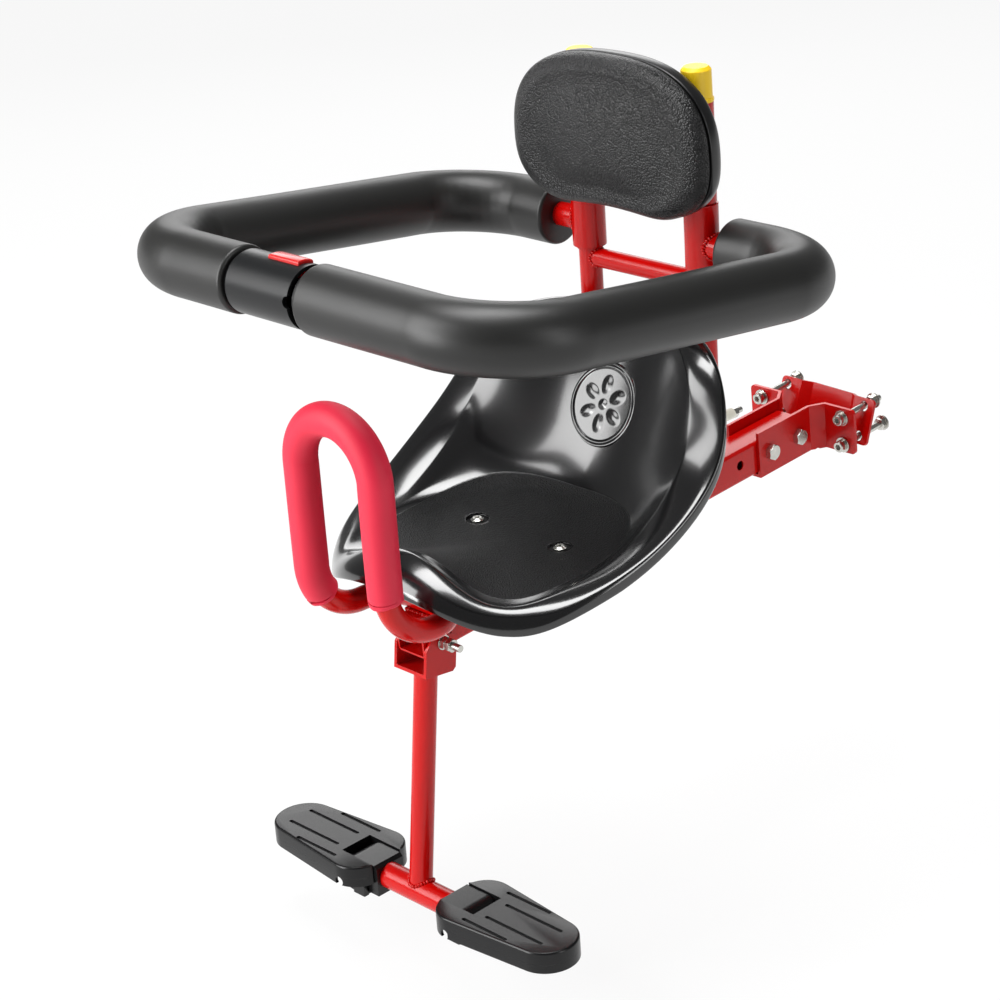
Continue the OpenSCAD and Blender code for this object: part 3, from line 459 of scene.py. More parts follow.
# %% Fine pan surface
def pan_rows(count):
    """Rows of the pan's upper side, and for the floor and the bend how grained each point is.
    Along s, from 0 at the back to 1 at the front, the bend widens and the lip gets shorter."""
    edge, s = around_pan(PAN_FLOOR, count)
    inner = around_pan(PAN_INNER, count)[0]
    outer = around_pan(PAN_OUTER, count)[0]
    edge, inner, outer = (smooth_loop(line, count / 36) for line in (edge, inner, outer))
    s = s[:, None]
    wall_start = edge + (inner - edge) * (0.25 + 0.2 * np.minimum(1, s / 0.3))
    lip = np.where(s < 0.6, 7, 7 - 6 * np.minimum(1, (s - 0.6) / 0.2))

    def floor(r):
        flat = PAN_CENTRE[:2] + (edge[:, :2] - PAN_CENTRE[:2]) * r
        return np.column_stack([flat, PAN_CENTRE[2] + (edge[:, 2] - PAN_CENTRE[2]) * r * r])

    floor_end = floor(FLOOR_REACH)
    # The rim's roll is a cubic curve: it leaves along the wall and arrives from above
    pull = inner + (8 - 2 * s) * unit_rows(inner - edge)
    drop = outer.copy()
    drop[:, 2] += np.maximum(8, 0.6 * (inner[:, 2] - outer[:, 2]))
    rows, area = [], []
    ramp = np.minimum(1, s[:, 0] / 0.55)
    grain_end = 0.27 + 0.22 * ramp * ramp * (3 - 2 * ramp)
    for r in np.linspace(0.02, FLOOR_REACH, 16):
        rows.append(floor(r))
        area.append(np.ones(count))
    for t in np.linspace(0, 1, 17)[1:]:
        rows.append((1 - t) ** 2 * floor_end + 2 * t * (1 - t) * edge + t * t * wall_start)
        area.append(np.clip((grain_end - t) / 0.12 + 0.5, 0, 1))
    for t in np.linspace(0, 1, 7)[1:]:
        rows.append(wall_start + (inner - wall_start) * t)
    for t in np.linspace(0, 1, 17)[1:]:
        u = 1 - t
        rows.append(u ** 3 * inner + 3 * u * u * t * pull + 3 * u * t * t * drop + t ** 3 * outer)
    for t in (0.35, 0.7, 1.0):
        rows.append(outer - lip * [0, 0, 1] * t)
    return np.array(rows), np.array(area)


def thicken(rows, wall):
    """The same rows moved inwards by the wall, each point along its own normal."""
    along = np.gradient(rows, axis=0)
    across = np.roll(rows, -1, axis=1) - np.roll(rows, 1, axis=1)
    return rows - wall * unit_rows(np.cross(across, along))


top_rows, floor_rows = pan_rows(224)
under_rows = thicken(top_rows, PAN_WALL)
half = (top_rows[-1] - under_rows[-1]) / 2
middle = (top_rows[-1] + under_rows[-1]) / 2
outwards = unit_rows(top_rows[-1] - top_rows[-3])
lip_rows = [middle + half * math.cos(a) + outwards * LIP_ROUND * math.sin(a)
            for a in np.radians((36, 72, 108, 144))]
pan_all_rows = np.concatenate([top_rows, lip_rows, under_rows[::-1]])
pan_area = np.zeros(pan_all_rows.shape[:2])
pan_area[:len(floor_rows)] = floor_rows
print("pan rows:", pan_all_rows.shape)

# %% [markdown]
# Many pieces here are rings of points joined into a skin: the pan, the foams, the cushion.
# One function makes that skin, closes its ends with a fan, and turns its faces outwards.

# %% Skin over rings of points
def skin(name, rings, material, closed=False, attribute=None):
    """A closed mesh over rings of points in millimetres. A closed skin joins last to first."""
    rings = np.asarray(rings, float) * MM
    rows, count = rings.shape[:2]
    points = [tuple(p) for p in rings.reshape(-1, 3)]
    faces = []
    for k in range(rows if closed else rows - 1):
        low, high = k * count, (k + 1) % rows * count
        for i in range(count):
            j = (i + 1) % count
            faces.append((low + i, low + j, high + j, high + i))
    if not closed:
        for start, turn in ((0, 1), ((rows - 1) * count, -1)):
            centre = len(points)
            points.append(tuple(rings[start // count].mean(axis=0)))
            faces += [(start + (i + 1) % count, start + i, centre)[::turn] for i in range(count)]
    mesh = bpy.data.meshes.new(name)
    mesh.from_pydata(points, [], faces)
    if attribute:
        layer = mesh.attributes.new(attribute[0], "FLOAT", "POINT")
        values = np.append(attribute[1].ravel(), [] if closed else attribute[1][[0, -1], 0])
        layer.data.foreach_set("value", values.astype(np.float32))
    bm = bmesh.new()
    bm.from_mesh(mesh)
    bmesh.ops.recalc_face_normals(bm, faces=bm.faces)
    mark_sharp(bm, 40)
    bm.to_mesh(mesh)
    bm.free()
    return link_mesh(name, mesh, material)


pan = skin("seat_pan_moulding", pan_all_rows, pan_plastic, attribute=("floor_area", pan_area))
print("pan faces:", len(pan.data.polygons))

# %% [markdown]
# Each seat screw sits in a round recess that the tool leaves in the floor. A cylinder is cut
# out of the moulding there, down to the level that the screw's head rests on.

# %% Screw recesses in the pan floor
SCREW_X, SCREW_Y, SCREW_SEAT = 46.4, -368.8, 17.0
RECESS_R, RECESS_TOP_R, RECESS_H = 9.5, 9.9, 12
for side in (-1, 1):
    bm = bmesh.new()
    bmesh.ops.create_cone(
        bm, cap_ends=True, segments=64, radius1=RECESS_R * MM, radius2=RECESS_TOP_R * MM,
        depth=RECESS_H * MM, matrix=Matrix.Translation(
            Vector((side * SCREW_X, SCREW_Y, SCREW_SEAT + RECESS_H / 2)) * MM))
    cutter_mesh = bpy.data.meshes.new("recess")
    bm.to_mesh(cutter_mesh)
    bm.free()
    cutter = link_mesh("recess", cutter_mesh, pan_plastic)
    cut = pan.modifiers.new("recess", "BOOLEAN")
    cut.object = cutter
    cut.operation = "DIFFERENCE"
    cut.solver = "EXACT"
    bake_modifiers(pan)
    bpy.data.objects.remove(cutter)
stand_for(pan, "seat_pan")
print("pan faces with recesses:", len(pan.data.polygons))

# %% [markdown]
# A round medallion is moulded into the pan's back. Its motif is a plain rosette: a raised
# ring, six petals and a dome. It is a disc of rings whose height is worked out per point. It
# curves with the wall, and its edge sinks into it so that the two look like one moulding.

# %% Medallion with a rosette
WALL_TILT = 24.9
MEDAL_PLACE = (Matrix.Translation(Vector((0, -262.6, 94.6)))
               @ Matrix.Rotation(math.radians(90 - WALL_TILT), 4, "X"))
MEDAL_R, MEDAL_EDGE_R, MEDAL_RING_R, PETAL_OUT = 34, 36.2, 31.2, 16


def bump_at(distance, width, height):
    """A smooth round hill."""
    t = np.clip(distance / width, 0, 1)
    return height * (1 - t * t) ** 2


def medal_height(x, y):
    """Height of the relief over the disc's plane. Past the rim it slopes into the wall."""
    r = np.hypot(x, y)
    base = 1.7 + 1.5 * (x / MEDAL_R) ** 2
    z = base + bump_at(np.abs(r - MEDAL_RING_R), 2.2, 1.0)
    for k in range(6):
        a = (k + 0.5) * math.pi / 3
        out = x * math.cos(a) + y * math.sin(a) - PETAL_OUT
        across = y * math.cos(a) - x * math.sin(a)
        z = z + bump_at(np.hypot(out / 1.5, across), 6.4, 1.0)
    z = z + bump_at(r, 5.2, 1.0)
    return np.where(r > MEDAL_R, base - (r - MEDAL_R) * 1.6, z)


turn = np.linspace(0, 2 * math.pi, 144, endpoint=False)
face_radii = [*np.linspace(0.4, MEDAL_R, 64), 34.6, 35.4, MEDAL_EDGE_R]
medal_rings = []
for r, sunk in [(r, False) for r in face_radii] + [(r, True) for r in (MEDAL_EDGE_R, 18, 1)]:
    x, y = r * np.cos(turn), r * np.sin(turn)
    z = np.full(len(turn), -3.2) if sunk else medal_height(x, y)
    medal_rings.append(carried(MEDAL_PLACE, zip(x, y, z)))
medallion = skin("pan_medallion", medal_rings, pan_plastic)
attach(medallion, "frame")
print("medallion faces:", len(medallion.data.polygons))

# %% [markdown]
# ## Tubes of foam
# The guard's covers and the handle's grip are foam tubes pushed over bent steel. Each is a
# circle carried along a path. The frame of each circle is the last one turned as little as
# possible, so the tube doesn't twist. Where the path bends, the foam flattens and creases a
# little on the inner side, and bulges on the outer side.

# %% Carry a circle along a path
def frames_along(path, first_side):
    """Tangent, side and up at each point of a path, with no twist."""
    tangents = unit_rows(np.gradient(path, axis=0))
    side = np.array(first_side, float)
    sides = []
    for t in tangents:
        side = side - t * side.dot(t)
        side = side / np.linalg.norm(side)
        sides.append(side)
    sides = np.array(sides)
    return tangents, sides, np.cross(tangents, sides)


def foam_tube(name, path, first_side, outer, bore, material, shape, edge, around=96):
    """A foam tube whose outer radius is outer plus shape(way, angle, bend, ends): way is the
    distance along it, ends the distance to the nearer end. The ends are rounded by edge."""
    tangents, sides, ups = frames_along(path, first_side)
    step = np.linalg.norm(np.diff(path, axis=0), axis=1)
    way = np.concatenate([[0], np.cumsum(step)])
    curve = np.gradient(tangents, axis=0) / np.gradient(way)[:, None]
    angle = np.linspace(0, 2 * math.pi, around, endpoint=False)
    rings, bored = [], []
    for k in range(len(path)):
        out = np.cos(angle)[:, None] * sides[k] + np.sin(angle)[:, None] * ups[k]
        bend = -(out @ curve[k])
        ends = min(way[k], way[-1] - way[k])
        rounding = edge - math.sqrt(max(0, edge ** 2 - max(0, edge - ends) ** 2))
        radius = outer - rounding + shape(way[k], angle, bend, ends)
        rings.append(path[k] + out * radius[:, None])
        bored.append(path[k] + out * bore)
    return skin(name, rings + bored[::-1], material, closed=True)


def joined(*pieces):
    """One path from several stretches, without the doubled points where they meet."""
    return np.concatenate([pieces[0], *(piece[1:] for piece in pieces[1:])])


def straight(a, b, spacing=4.0):
    """Points from a to b, at most about this far apart."""
    count = max(2, int(np.linalg.norm(np.subtract(b, a)) / spacing) + 1)
    return np.linspace(a, b, count)


def with_fine_ends(path, reach=6.0, spacing=0.4):
    """The same path with close points near both ends, for the rounding there."""
    start = path[0] + unit_rows(path[1] - path[0]) * np.arange(0, reach, spacing)[:, None]
    end = path[-1] + unit_rows(path[-2] - path[-1]) * np.arange(0, reach, spacing)[:, None]
    return np.concatenate([start, path[2:-2], end[::-1]])

# %% [markdown]
# ## Guard covers
# Each guard arm runs out from its sleeve, round the rear corner, forwards, round the front
# corner and across to the buckle. The whole ring rises 7.2 degrees towards its front.

# %% Guard foam
GUARD_PLACE = Vector((0, -206, 225.7))
GUARD_TURN = Matrix.Rotation(math.radians(-7.2), 4, "X")
GUARD_X, GUARD_D = 198, 357
REAR_BEND, FRONT_BEND = 72, 67
FOAM_START, FOAM_R, FOAM_BORE = 93, 26, 10.05
on_guard = Matrix.Translation(GUARD_PLACE) @ GUARD_TURN


def guard_path(end_x, side):
    """Path of one arm's cover, from its sleeve to end_x, on one side of the middle."""
    rear = np.radians(np.linspace(90, 0, 40))
    front = np.radians(np.linspace(0, -90, 40))
    xr, yr = GUARD_X - REAR_BEND, -REAR_BEND
    xf, yf = GUARD_X - FRONT_BEND, -GUARD_D + FRONT_BEND
    flat = joined(
        straight((FOAM_START, 0), (xr, 0)),
        np.column_stack([xr + REAR_BEND * np.cos(rear), yr + REAR_BEND * np.sin(rear)]),
        straight((GUARD_X, yr), (GUARD_X, yf)),
        np.column_stack([xf + FRONT_BEND * np.cos(front), yf + FRONT_BEND * np.sin(front)]),
        straight((xf, -GUARD_D), (end_x, -GUARD_D)))
    path = np.column_stack([flat[:, 0] * side, flat[:, 1], np.zeros(len(flat))])
    return np.array(carried(on_guard, with_fine_ends(path)))


def guard_shape(way, angle, bend, ends):
    """Slow unevenness, a flatter inner side in the bends and shallow creases there."""
    pressed = np.clip(-bend * 70, 0, 1)
    swollen = np.clip(bend * 70, 0, 1)
    crease = 0.5 + 0.5 * np.cos(way / 13 * 2 * math.pi + np.sin(angle * 2))
    slow = 0.18 * np.sin(way / 47 + 1.3) * np.cos(angle * 2 + way / 90)
    return slow - pressed ** 2 * (0.35 + 0.12 * crease) + 0.25 * swollen


for arm, end_x, side in (("left", 14, 1), ("right", 66, -1)):
    cover = foam_tube("guard_cover_" + arm, guard_path(end_x, side), (0, 0, 1), FOAM_R, FOAM_BORE,
                      guard_foam_skin, guard_shape, edge=3.0)
    stand_for(cover, "guard_foam_" + arm)
    print(cover.name, "faces:", len(cover.data.polygons))

# %% [markdown]
# ## Handle grip
# The grip covers the top arc, both legs and the start of each lower bend, further on the
# child's right. It was pushed on, so its cut ends are a little crumpled.

# %% Grip foam
LEG_X, HANDLE_Y, ARC_Z = 41.5, -547, 130
LOW_Z, LOW_BEND = -0.8, 46
GRIP_R, GRIP_BORE = 13.5, 9.55


def lower_bend(side, degrees, steps):
    """The part of a leg's lower bend that the grip covers, from the leg downwards."""
    a = np.radians(np.linspace(0, degrees, steps))
    return np.column_stack([np.full(steps, side * LEG_X), HANDLE_Y + LOW_BEND * (1 - np.cos(a)),
                            LOW_Z + LOW_BEND * (1 - np.sin(a))])


arc = np.radians(np.linspace(0, 180, 64))
grip_path = joined(
    lower_bend(1, 10, 8)[::-1],
    straight((LEG_X, HANDLE_Y, LOW_Z + LOW_BEND), (LEG_X, HANDLE_Y, ARC_Z), 2.5),
    np.column_stack([LEG_X * np.cos(arc), np.full(64, HANDLE_Y), ARC_Z + LEG_X * np.sin(arc)]),
    straight((-LEG_X, HANDLE_Y, ARC_Z), (-LEG_X, HANDLE_Y, LOW_Z + LOW_BEND), 2.5),
    lower_bend(-1, 36, 20))
grip_path = with_fine_ends(grip_path, 4.0, 0.35)


def grip_shape(way, angle, bend, ends):
    """Fine creases inside the top arc and a crumple near each cut end."""
    pressed = np.clip(-bend * 42, 0, 1)
    crease = 0.5 + 0.5 * np.cos(way / 4.2 * 2 * math.pi)
    crumple = math.exp(-ends / 7) * (0.16 * np.sin(angle * 9 + 2) + 0.2 * np.sin(angle * 4))
    slow = 0.2 * np.sin(way / 33) * np.cos(angle + way / 60)
    return slow + crumple - pressed ** 2 * (0.25 + 0.3 * crease)


grip = foam_tube("handle_grip_foam", grip_path, (0, -1, 0), GRIP_R, GRIP_BORE, grip_foam_skin,
                 grip_shape, edge=1.6, around=72)
stand_for(grip, "handle_grip")
print("grip faces:", len(grip.data.polygons))

# %% [markdown]
# ## Backrest
# The cushion is a kidney shaped pad moulded in one with its skin, so it has no seams. It has
# a firm rounded border, a shallow valley inside it and a crown in the middle. The rings
# below are the outline at several depths and sizes, joined by a smooth curve.

# %% Backrest cushion and shell
PAD_HALF_W, PAD_UP, PAD_DOWN, PAD_MID_Z = 102.5, 73.5, 56, 305
PAD_BACK, PAD_SHRINK_Z = -222, 3
NOTCH, NOTCH_HALF_W = 7, 56
UPPER_POWER, LOWER_POWER = 2.5, 2.7


def power(v, n):
    return np.sign(v) * np.abs(v) ** (2 / n)


def pad_ring(depth, size, count=192):
    """The pad's outline: half a superellipse above, a flatter one with a notch below."""
    a = np.linspace(0, 2 * math.pi, count, endpoint=False)
    up = np.sin(a) >= 0
    x = PAD_HALF_W * power(np.cos(a), np.where(up, UPPER_POWER, LOWER_POWER))
    notch = NOTCH * np.maximum(0, 1 - (x / NOTCH_HALF_W) ** 2)
    z = np.where(up, PAD_UP * power(np.sin(a), UPPER_POWER),
                 PAD_DOWN * power(np.sin(a), LOWER_POWER) + notch)
    return np.column_stack([size * x, np.full(count, PAD_BACK + depth),
                            PAD_MID_Z + PAD_SHRINK_Z + size * (z - PAD_SHRINK_Z)])


def through(profile, count):
    """Depths and sizes of this many rings, on a smooth curve through the given ones."""
    p = np.array(profile, float)
    return curve_through(2 * p[0] - p[1], p, 2 * p[-1] - p[-2], np.linspace(0, 1, count))


def even_ring(ring):
    """The ring's points spread evenly along it, without the kink at the notch's ends."""
    loop = np.vstack([ring, ring[:1]])
    way = np.concatenate([[0], np.cumsum(np.linalg.norm(np.diff(loop, axis=0), axis=1))])
    at = np.linspace(0, way[-1], len(ring), endpoint=False)
    return smooth_loop(np.column_stack([np.interp(at, way, loop[:, k]) for k in range(3)]), 3)


CUSHION = [(-15.8, 0.978), (-18.5, 0.995), (-23, 0.985), (-27, 0.95), (-30, 0.89), (-31.3, 0.83),
           (-30.5, 0.76), (-30.4, 0.67), (-31.8, 0.55), (-34, 0.36), (-35.5, 0.14), (-35.7, 0.02)]
SHELL = [(0, 0.9), (-0.6, 0.945), (-2.5, 0.975), (-6, 0.992), (-10, 1), (-14.9, 1), (-15.6, 0.99)]


def pad_rings(*profile):
    return [even_ring(pad_ring(depth, size)) for depth, size in profile]


cushion = skin("backrest_cushion_moulding", pad_rings((-15.8, 0.6), *through(CUSHION, 72)),
               cushion_skin)
stand_for(cushion, "backrest_cushion")
shell = skin("backrest_shell_moulding",
             pad_rings((0, 0.3), *through(SHELL, 28), (-15.6, 0.5)), shell_plastic)
stand_for(shell, "backrest_shell")
print("backrest faces:", len(cushion.data.polygons), len(shell.data.polygons))

# %% [markdown]
# ## Rigid parts
# The sheet metal, tubes, fasteners and small mouldings keep their CAD shapes. Each gets a
# bevel of a size that fits it: wide on thick mouldings, narrow on thin sheet and screws.
# The footrests' upper outline has a radius of 2 mm, which draws a line of light round them,
# and the button's top is rounded for the thumb. The button's spring is hidden in the buckle,
# so it keeps its CAD mesh and only gets the zinc.

# %% Finish the rigid parts
EDGE_MM = {node: width for width, nodes in (
    (0.8, ("buckle_socket", "cap_left", "cap_right")),
    (0.5, ("clamp_bracket", "clamp_plate", "buckle_tongue", "footrest_hub_left",
           "footrest_hub_right", "guard_sleeve_left", "guard_sleeve_right")),
    (0.4, ("seat_bracket", "back_stay", "backrest_plate", "post_bracket",
           "backrest_tube_left", "backrest_tube_right")),
    (0.3, ("main_beam", "back_spacers")),
    (0.25, ("beam_bolts",)),
    (0.22, ("footrest_left", "footrest_right")),
    (0.2, ("beam_nuts", "clamp_bolts", "clamp_nuts", "clamp_washers", "seat_screws",
           "post_bolt", "post_nuts", "back_nuts", "release_button"))) for node in nodes}
FOOTREST_TOP, FOOTREST_Y = -232 * MM, -502.5 * MM
NOTCH_HALF, NOTCH_END = 16.5 * MM, 79 * MM
BUTTON_CROWN = 25.0


def in_hinge_notch(point):
    return abs(point.y - FOOTREST_Y) < NOTCH_HALF and abs(point.x) < NOTCH_END


ROUNDED = {"release_button": (1.5, crown_edges, on_guard, BUTTON_CROWN)}
for node in ("footrest_left", "footrest_right"):
    ROUNDED[node] = (2.0, outline_edges, FOOTREST_TOP, in_hinge_notch)
spring = frame["nodes"]["button_spring"].data
spring.materials.clear()
spring.materials.append(zinc_plate)
rigid = [node for node in frame["nodes"] if node not in stood_for and node != "button_spring"]
for node in rigid:
    dress(node, EDGE_MM.get(node, 0), *ROUNDED.get(node, ()))
print("rigid parts:", len(rigid))

# %% [markdown]
# ## Weld beads and screw threads
# Two small things repeat along lines: the humps of a weld bead, and the ridges of a screw
# thread. Geometry Nodes set one shape at each step along the lines and turn it to the line.
# Both trees are built by one function. They differ in the shape, its size inputs and whether
# it is shaded smooth.

# %% A tree that repeats a shape along lines
def line_tree(name, sizes, shape, smooth):
    """A node tree with these named inputs. shape(tree, given) makes what is repeated, and
    gives its socket and any scale. Returns the tree and its inputs' identifiers."""
    tree = bpy.data.node_groups.new(name, "GeometryNodeTree")
    inputs = (("Geometry", "NodeSocketGeometry", None), *sizes,
              ("Finish", "NodeSocketMaterial", None))
    named = {}
    for label, kind, value in inputs:
        socket = tree.interface.new_socket(label, in_out="INPUT", socket_type=kind)
        if value is not None:
            socket.default_value = value
        named[label] = socket.identifier
    tree.interface.new_socket("Geometry", in_out="OUTPUT", socket_type="NodeSocketGeometry")
    given = tree.nodes.new("NodeGroupInput").outputs
    line = add(tree, "GeometryNodeMeshToCurve", {"Mesh": given["Geometry"]})
    steps = add(tree, "GeometryNodeResampleCurve", {"Curve": line.outputs[0],
                                                    "Length": given["Step"]}, mode="LENGTH")
    tangent = add(tree, "GeometryNodeInputTangent")
    turned = add(tree, "FunctionNodeAlignRotationToVector", {"Vector": tangent.outputs[0]},
                 axis="Z")
    piece, scale = shape(tree, given)
    placed = add(tree, "GeometryNodeInstanceOnPoints",
                 {"Points": steps.outputs[0], "Instance": piece, "Rotation": turned.outputs[0],
                  **scale})
    last = add(tree, "GeometryNodeRealizeInstances", {"Geometry": placed.outputs[0]})
    if smooth:
        last = add(tree, "GeometryNodeSetShadeSmooth", {0: last.outputs[0]})
    dressed = add(tree, "GeometryNodeSetMaterial", {"Geometry": last.outputs[0],
                                                    "Material": given["Finish"]})
    add(tree, "NodeGroupOutput", {"Geometry": dressed.outputs[0]})
    return tree, named


def grow(name, lines, tree, named, body, slot, **values):
    """Runs a node tree on lines of points in millimetres, and keeps the result as a plain
    mesh that rides on this body."""
    points, edges = [], []
    for line in lines:
        edges += [(len(points) + i, len(points) + i + 1) for i in range(len(line) - 1)]
        points += [tuple(np.array(p) * MM) for p in line]
    mesh = bpy.data.meshes.new(name)
    mesh.from_pydata(points, edges, [])
    thing = link_mesh(name, mesh)
    modifier = thing.modifiers.new(tree.name, "NODES")
    modifier.node_group = tree
    for label, value in {**values, "Finish": FINISH[slot]}.items():
        modifier[named[label]] = value
    bake_modifiers(thing)
    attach(thing, body)
    print(thing.name, len(thing.data.polygons))

# %% [markdown]
# Every joint between tubes has a bead of weld under the powder coat: small overlapping
# humps, about two and a half millimetres apart. Each hump is varied a little by a fixed seed.

# %% Bead tree
def hump(tree, given):
    """A ball, varied each time by up to a quarter of its size, and flatter along the line."""
    ball = add(tree, "GeometryNodeMeshUVSphere", {"Segments": 12, "Rings": 8,
                                                  "Radius": given["Radius"]})
    vary = add(tree, "FunctionNodeRandomValue", {0: (0.72, 0.72, 0.6), 1: (1.15, 1.15, 0.85),
                                                 "Seed": given["Seed"]}, data_type="FLOAT_VECTOR")
    return ball.outputs["Mesh"], {"Scale": vary.outputs[0]}


beads = line_tree("weld_beads", (("Step", "NodeSocketFloat", 2.4 * MM),
                                 ("Radius", "NodeSocketFloat", 1.9 * MM),
                                 ("Seed", "NodeSocketInt", 3)), hump, smooth=True)
print(beads[0].name, len(beads[0].nodes), "nodes")

# %% [markdown]
# The lines of the joints come from the tubes themselves. Where a round tube meets another,
# the line is a saddle: each point goes out by the depth at which the second tube's surface
# lies there. The foot post's top ends on a flat face, so its line is a circle. The handle's
# joint to the beam is two short straight lines.

# %% Lines of the joints
UPRIGHT_X, UPRIGHT_Y, UPRIGHT_R = 61.5, -206, 9.5
CROSSBAR_Z, CROSSBAR_IN_R = 195, 7.4
POST_R, POST_TILT, POST_L, FOOT_TUBE_R = 9.5, math.radians(7.65), 190.5, 11
BEAM_TILT, BEAM_TOP = math.radians(3), 15.2
SLEEVE_Z, SLEEVE_LINE_R, ARM_LINE_R = 225.7, 14.3, 10.2
on_post = (Matrix.Translation(Vector((0, -477.6, -58)))
           @ Matrix.Rotation(-POST_TILT, 4, "X"))
round_angles = np.radians(np.linspace(0, 360, 49))


def saddle_x(centre, own_r, other_r, side, stand):
    """Line where a tube along X meets an upright tube that stands at centre. It stands off
    both surfaces by stand."""
    x, y, z = centre
    return [(x - side * math.sqrt((other_r + stand) ** 2 - (own_r * math.cos(a)) ** 2),
             y + (own_r + stand) * math.cos(a), z + (own_r + stand) * math.sin(a))
            for a in round_angles]


frame_lines = [saddle_x((side * UPRIGHT_X, UPRIGHT_Y, CROSSBAR_Z), CROSSBAR_IN_R, UPRIGHT_R,
                        side, 0.4) for side in (-1, 1)]
frame_lines.append(carried(on_post, [
    ((POST_R + 0.4) * math.cos(a), (POST_R + 0.1) * math.sin(a), 0.3 - POST_L
     + math.sqrt((FOOT_TUBE_R + 0.2) ** 2 - ((POST_R + 0.1) * math.sin(a)) ** 2))
    for a in round_angles]))
frame_lines.append(carried(on_post, [
    ((POST_R + 0.3) * math.cos(a), (POST_R + 0.3) * math.sin(a), -0.3) for a in round_angles]))
for y in (-480.5, -465.5):
    level = -473 * math.sin(BEAM_TILT) + BEAM_TOP + 0.4
    frame_lines.append([(x, y, level) for x in (-13, 0, 13)])
grow("frame_weld_beads", frame_lines, *beads, "frame", "powder_coat_red", Step=2.4 * MM,
     Radius=1.9 * MM, Seed=3)
for arm, side in (("left", 1), ("right", -1)):
    sleeve_line = saddle_x((side * UPRIGHT_X, UPRIGHT_Y, SLEEVE_Z), ARM_LINE_R, SLEEVE_LINE_R,
                           -side, 0)
    grow("guard_weld_beads_" + arm, [sleeve_line], *beads, "guard_arm_" + arm,
         "powder_coat_red", Step=2.5 * MM, Radius=1.9 * MM, Seed=5 + side)

# %% [markdown]
# The bolts are longer than they need be, so their threads show. A thread this fine looks the
# same as a row of ridges: a double cone at each pitch along the bolt's axis.

# %% Thread tree and threads
def ridge(tree, given):
    """Two cones, one pitch high together, whose wide ends meet at the crest."""
    half = add(tree, "ShaderNodeMath", {0: given["Step"], 1: 0.5}, operation="MULTIPLY")
    up, down = (add(tree, "GeometryNodeMeshCone",
                    {"Vertices": 20, "Radius Bottom": given[wide], "Radius Top": given[narrow],
                     "Depth": half.outputs[0]})
                for wide, narrow in (("Crest", "Root"), ("Root", "Crest")))
    drop = add(tree, "ShaderNodeMath", {0: half.outputs[0], 1: -1.0}, operation="MULTIPLY")
    way = add(tree, "ShaderNodeCombineXYZ", {"Z": drop.outputs[0]})
    moved = add(tree, "GeometryNodeTransform", {"Geometry": down.outputs["Mesh"],
                                                "Translation": way.outputs[0]})
    both = add(tree, "GeometryNodeJoinGeometry", {0: up.outputs["Mesh"]})
    tree.links.new(moved.outputs[0], both.inputs[0])
    return both.outputs[0], {}


threads = line_tree("thread_ridges", (("Step", "NodeSocketFloat", 1.0 * MM),
                                      ("Crest", "NodeSocketFloat", 3.06 * MM),
                                      ("Root", "NodeSocketFloat", 2.6 * MM)), ridge, smooth=False)
on_beam = Matrix.Rotation(BEAM_TILT, 4, "X")
m6_lines = [carried(on_beam, [(side * 45, -8.5, z), (side * 45, end, z)])
            for side in (-1, 1) for z, end in ((14.5, 40.0), (-11, 48.0))]
m6_lines.append(carried(on_post, [(19.3, 0, 27), (37.7, 0, 27)]))
m5_lines = [[(side * UPRIGHT_X, y, 74) for y in (-194, -166.6)] for side in (-1, 1)]
m8_lines = [carried(on_beam, [(-19.3, y, 1.5), (-26.7, y, 1.5)]) for y in (-40.5, -78)]
for name, lines, pitch, crest in (("m6_threads", m6_lines, 1.0, 3.06),
                                  ("m5_threads", m5_lines, 0.8, 2.56),
                                  ("m8_threads", m8_lines, 1.25, 4.08)):
    grow(name, lines, *threads, "frame", "zinc", Step=pitch * MM, Crest=crest * MM,
         Root=(crest - 0.45 * pitch) * MM)

# %% [markdown]
# ## Studio
# A plain pale floor and large soft lamps. The floor shows as white to the camera and in
# reflections, with only part of its own shading left, so it keeps a faint shadow. The
# lamps are broad, because glossy plastic and powder coat show their shapes.

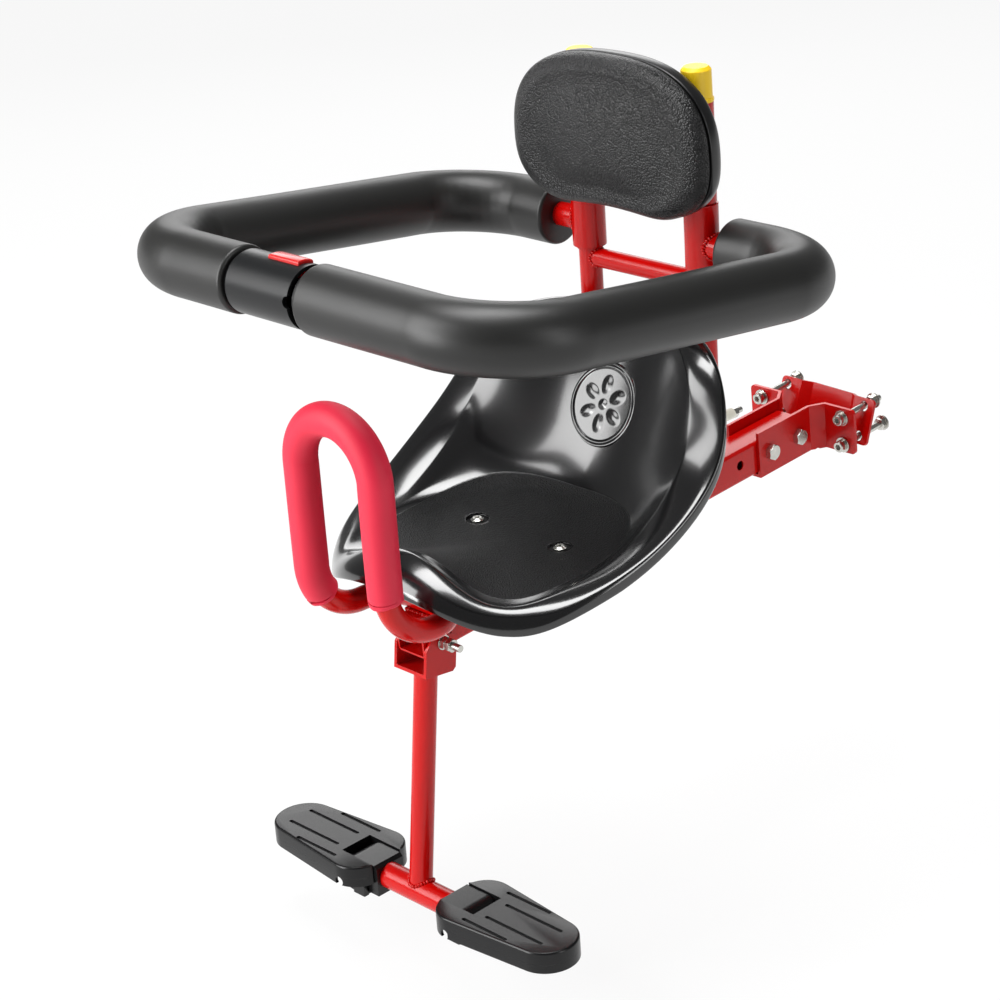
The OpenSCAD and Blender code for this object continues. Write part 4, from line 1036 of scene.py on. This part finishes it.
# %% Floor, lamps and world
FLOOR_GAP, FLOOR_GLOW = 0.05, 0.9
bm = bmesh.new()
bmesh.ops.create_grid(bm, x_segments=2, y_segments=2, size=30)
floor_mesh = bpy.data.meshes.new("studio_floor")
bm.to_mesh(floor_mesh)
bm.free()
floor_finish = bpy.data.materials.new("white_studio_floor")
floor_finish.use_nodes = True
tree = floor_finish.node_tree
tree.nodes.clear()
paper = add(tree, "ShaderNodeBsdfDiffuse", {"Color": paint("f2f2f2")})
glow = add(tree, "ShaderNodeEmission", {"Color": paint("ffffff"), "Strength": 1.0})
ray = add(tree, "ShaderNodeLightPath")
seen = add(tree, "ShaderNodeMath", {0: ray.outputs["Is Camera Ray"],
                                    1: ray.outputs["Is Glossy Ray"]}, operation="MAXIMUM")
share = add(tree, "ShaderNodeMath", {0: seen.outputs[0], 1: FLOOR_GLOW}, operation="MULTIPLY")
mixed = add(tree, "ShaderNodeMixShader", {0: share.outputs[0], 1: paper.outputs[0],
                                          2: glow.outputs[0]})
add(tree, "ShaderNodeOutputMaterial", {"Surface": mixed.outputs[0]})
floor = link_mesh("studio_floor", floor_mesh, floor_finish)
floor.location = (0, 0, cad_box[0].z - FLOOR_GAP)

target = Vector((0, -0.33, 0.08))
LAMPS = (
    ("key_softbox", (-1.35, -2.65, 1.45), 1.9, 2.3, 105),
    ("top_softbox", (-0.2, -0.3, 2.3), 1.5, 0.9, 52),
    ("right_strip", (2.7, -0.2, 1.0), 0.5, 2.0, 20),
    ("front_card", (-0.75, -3.3, 0.35), 0.8, 1.1, 34),
    ("back_softbox", (-2.1, 1.5, 1.15), 1.9, 1.0, 19))
for name, place, width, tall, power_w in LAMPS:
    lamp_data = bpy.data.lights.new(name, "AREA")
    lamp_data.shape = "RECTANGLE"
    lamp_data.size, lamp_data.size_y = width, tall
    lamp_data.energy = power_w
    lamp = bpy.data.objects.new(name, lamp_data)
    lamp.location = place
    lamp.rotation_euler = (target - Vector(place)).to_track_quat("-Z", "Y").to_euler()
    lamp.visible_camera = False
    scene.collection.objects.link(lamp)
world = bpy.data.worlds.new("studio_room")
world.use_nodes = True
air = world.node_tree.nodes["Background"].inputs
air["Color"].default_value, air["Strength"].default_value = paint("c8c8c8"), 0.3
scene.world = world
print("lamps:", len(LAMPS))

# %% [markdown]
# The last step prints the CAD model's box.

# %% Sizes and finish
print("CAD box   ", rounded(cad_box))
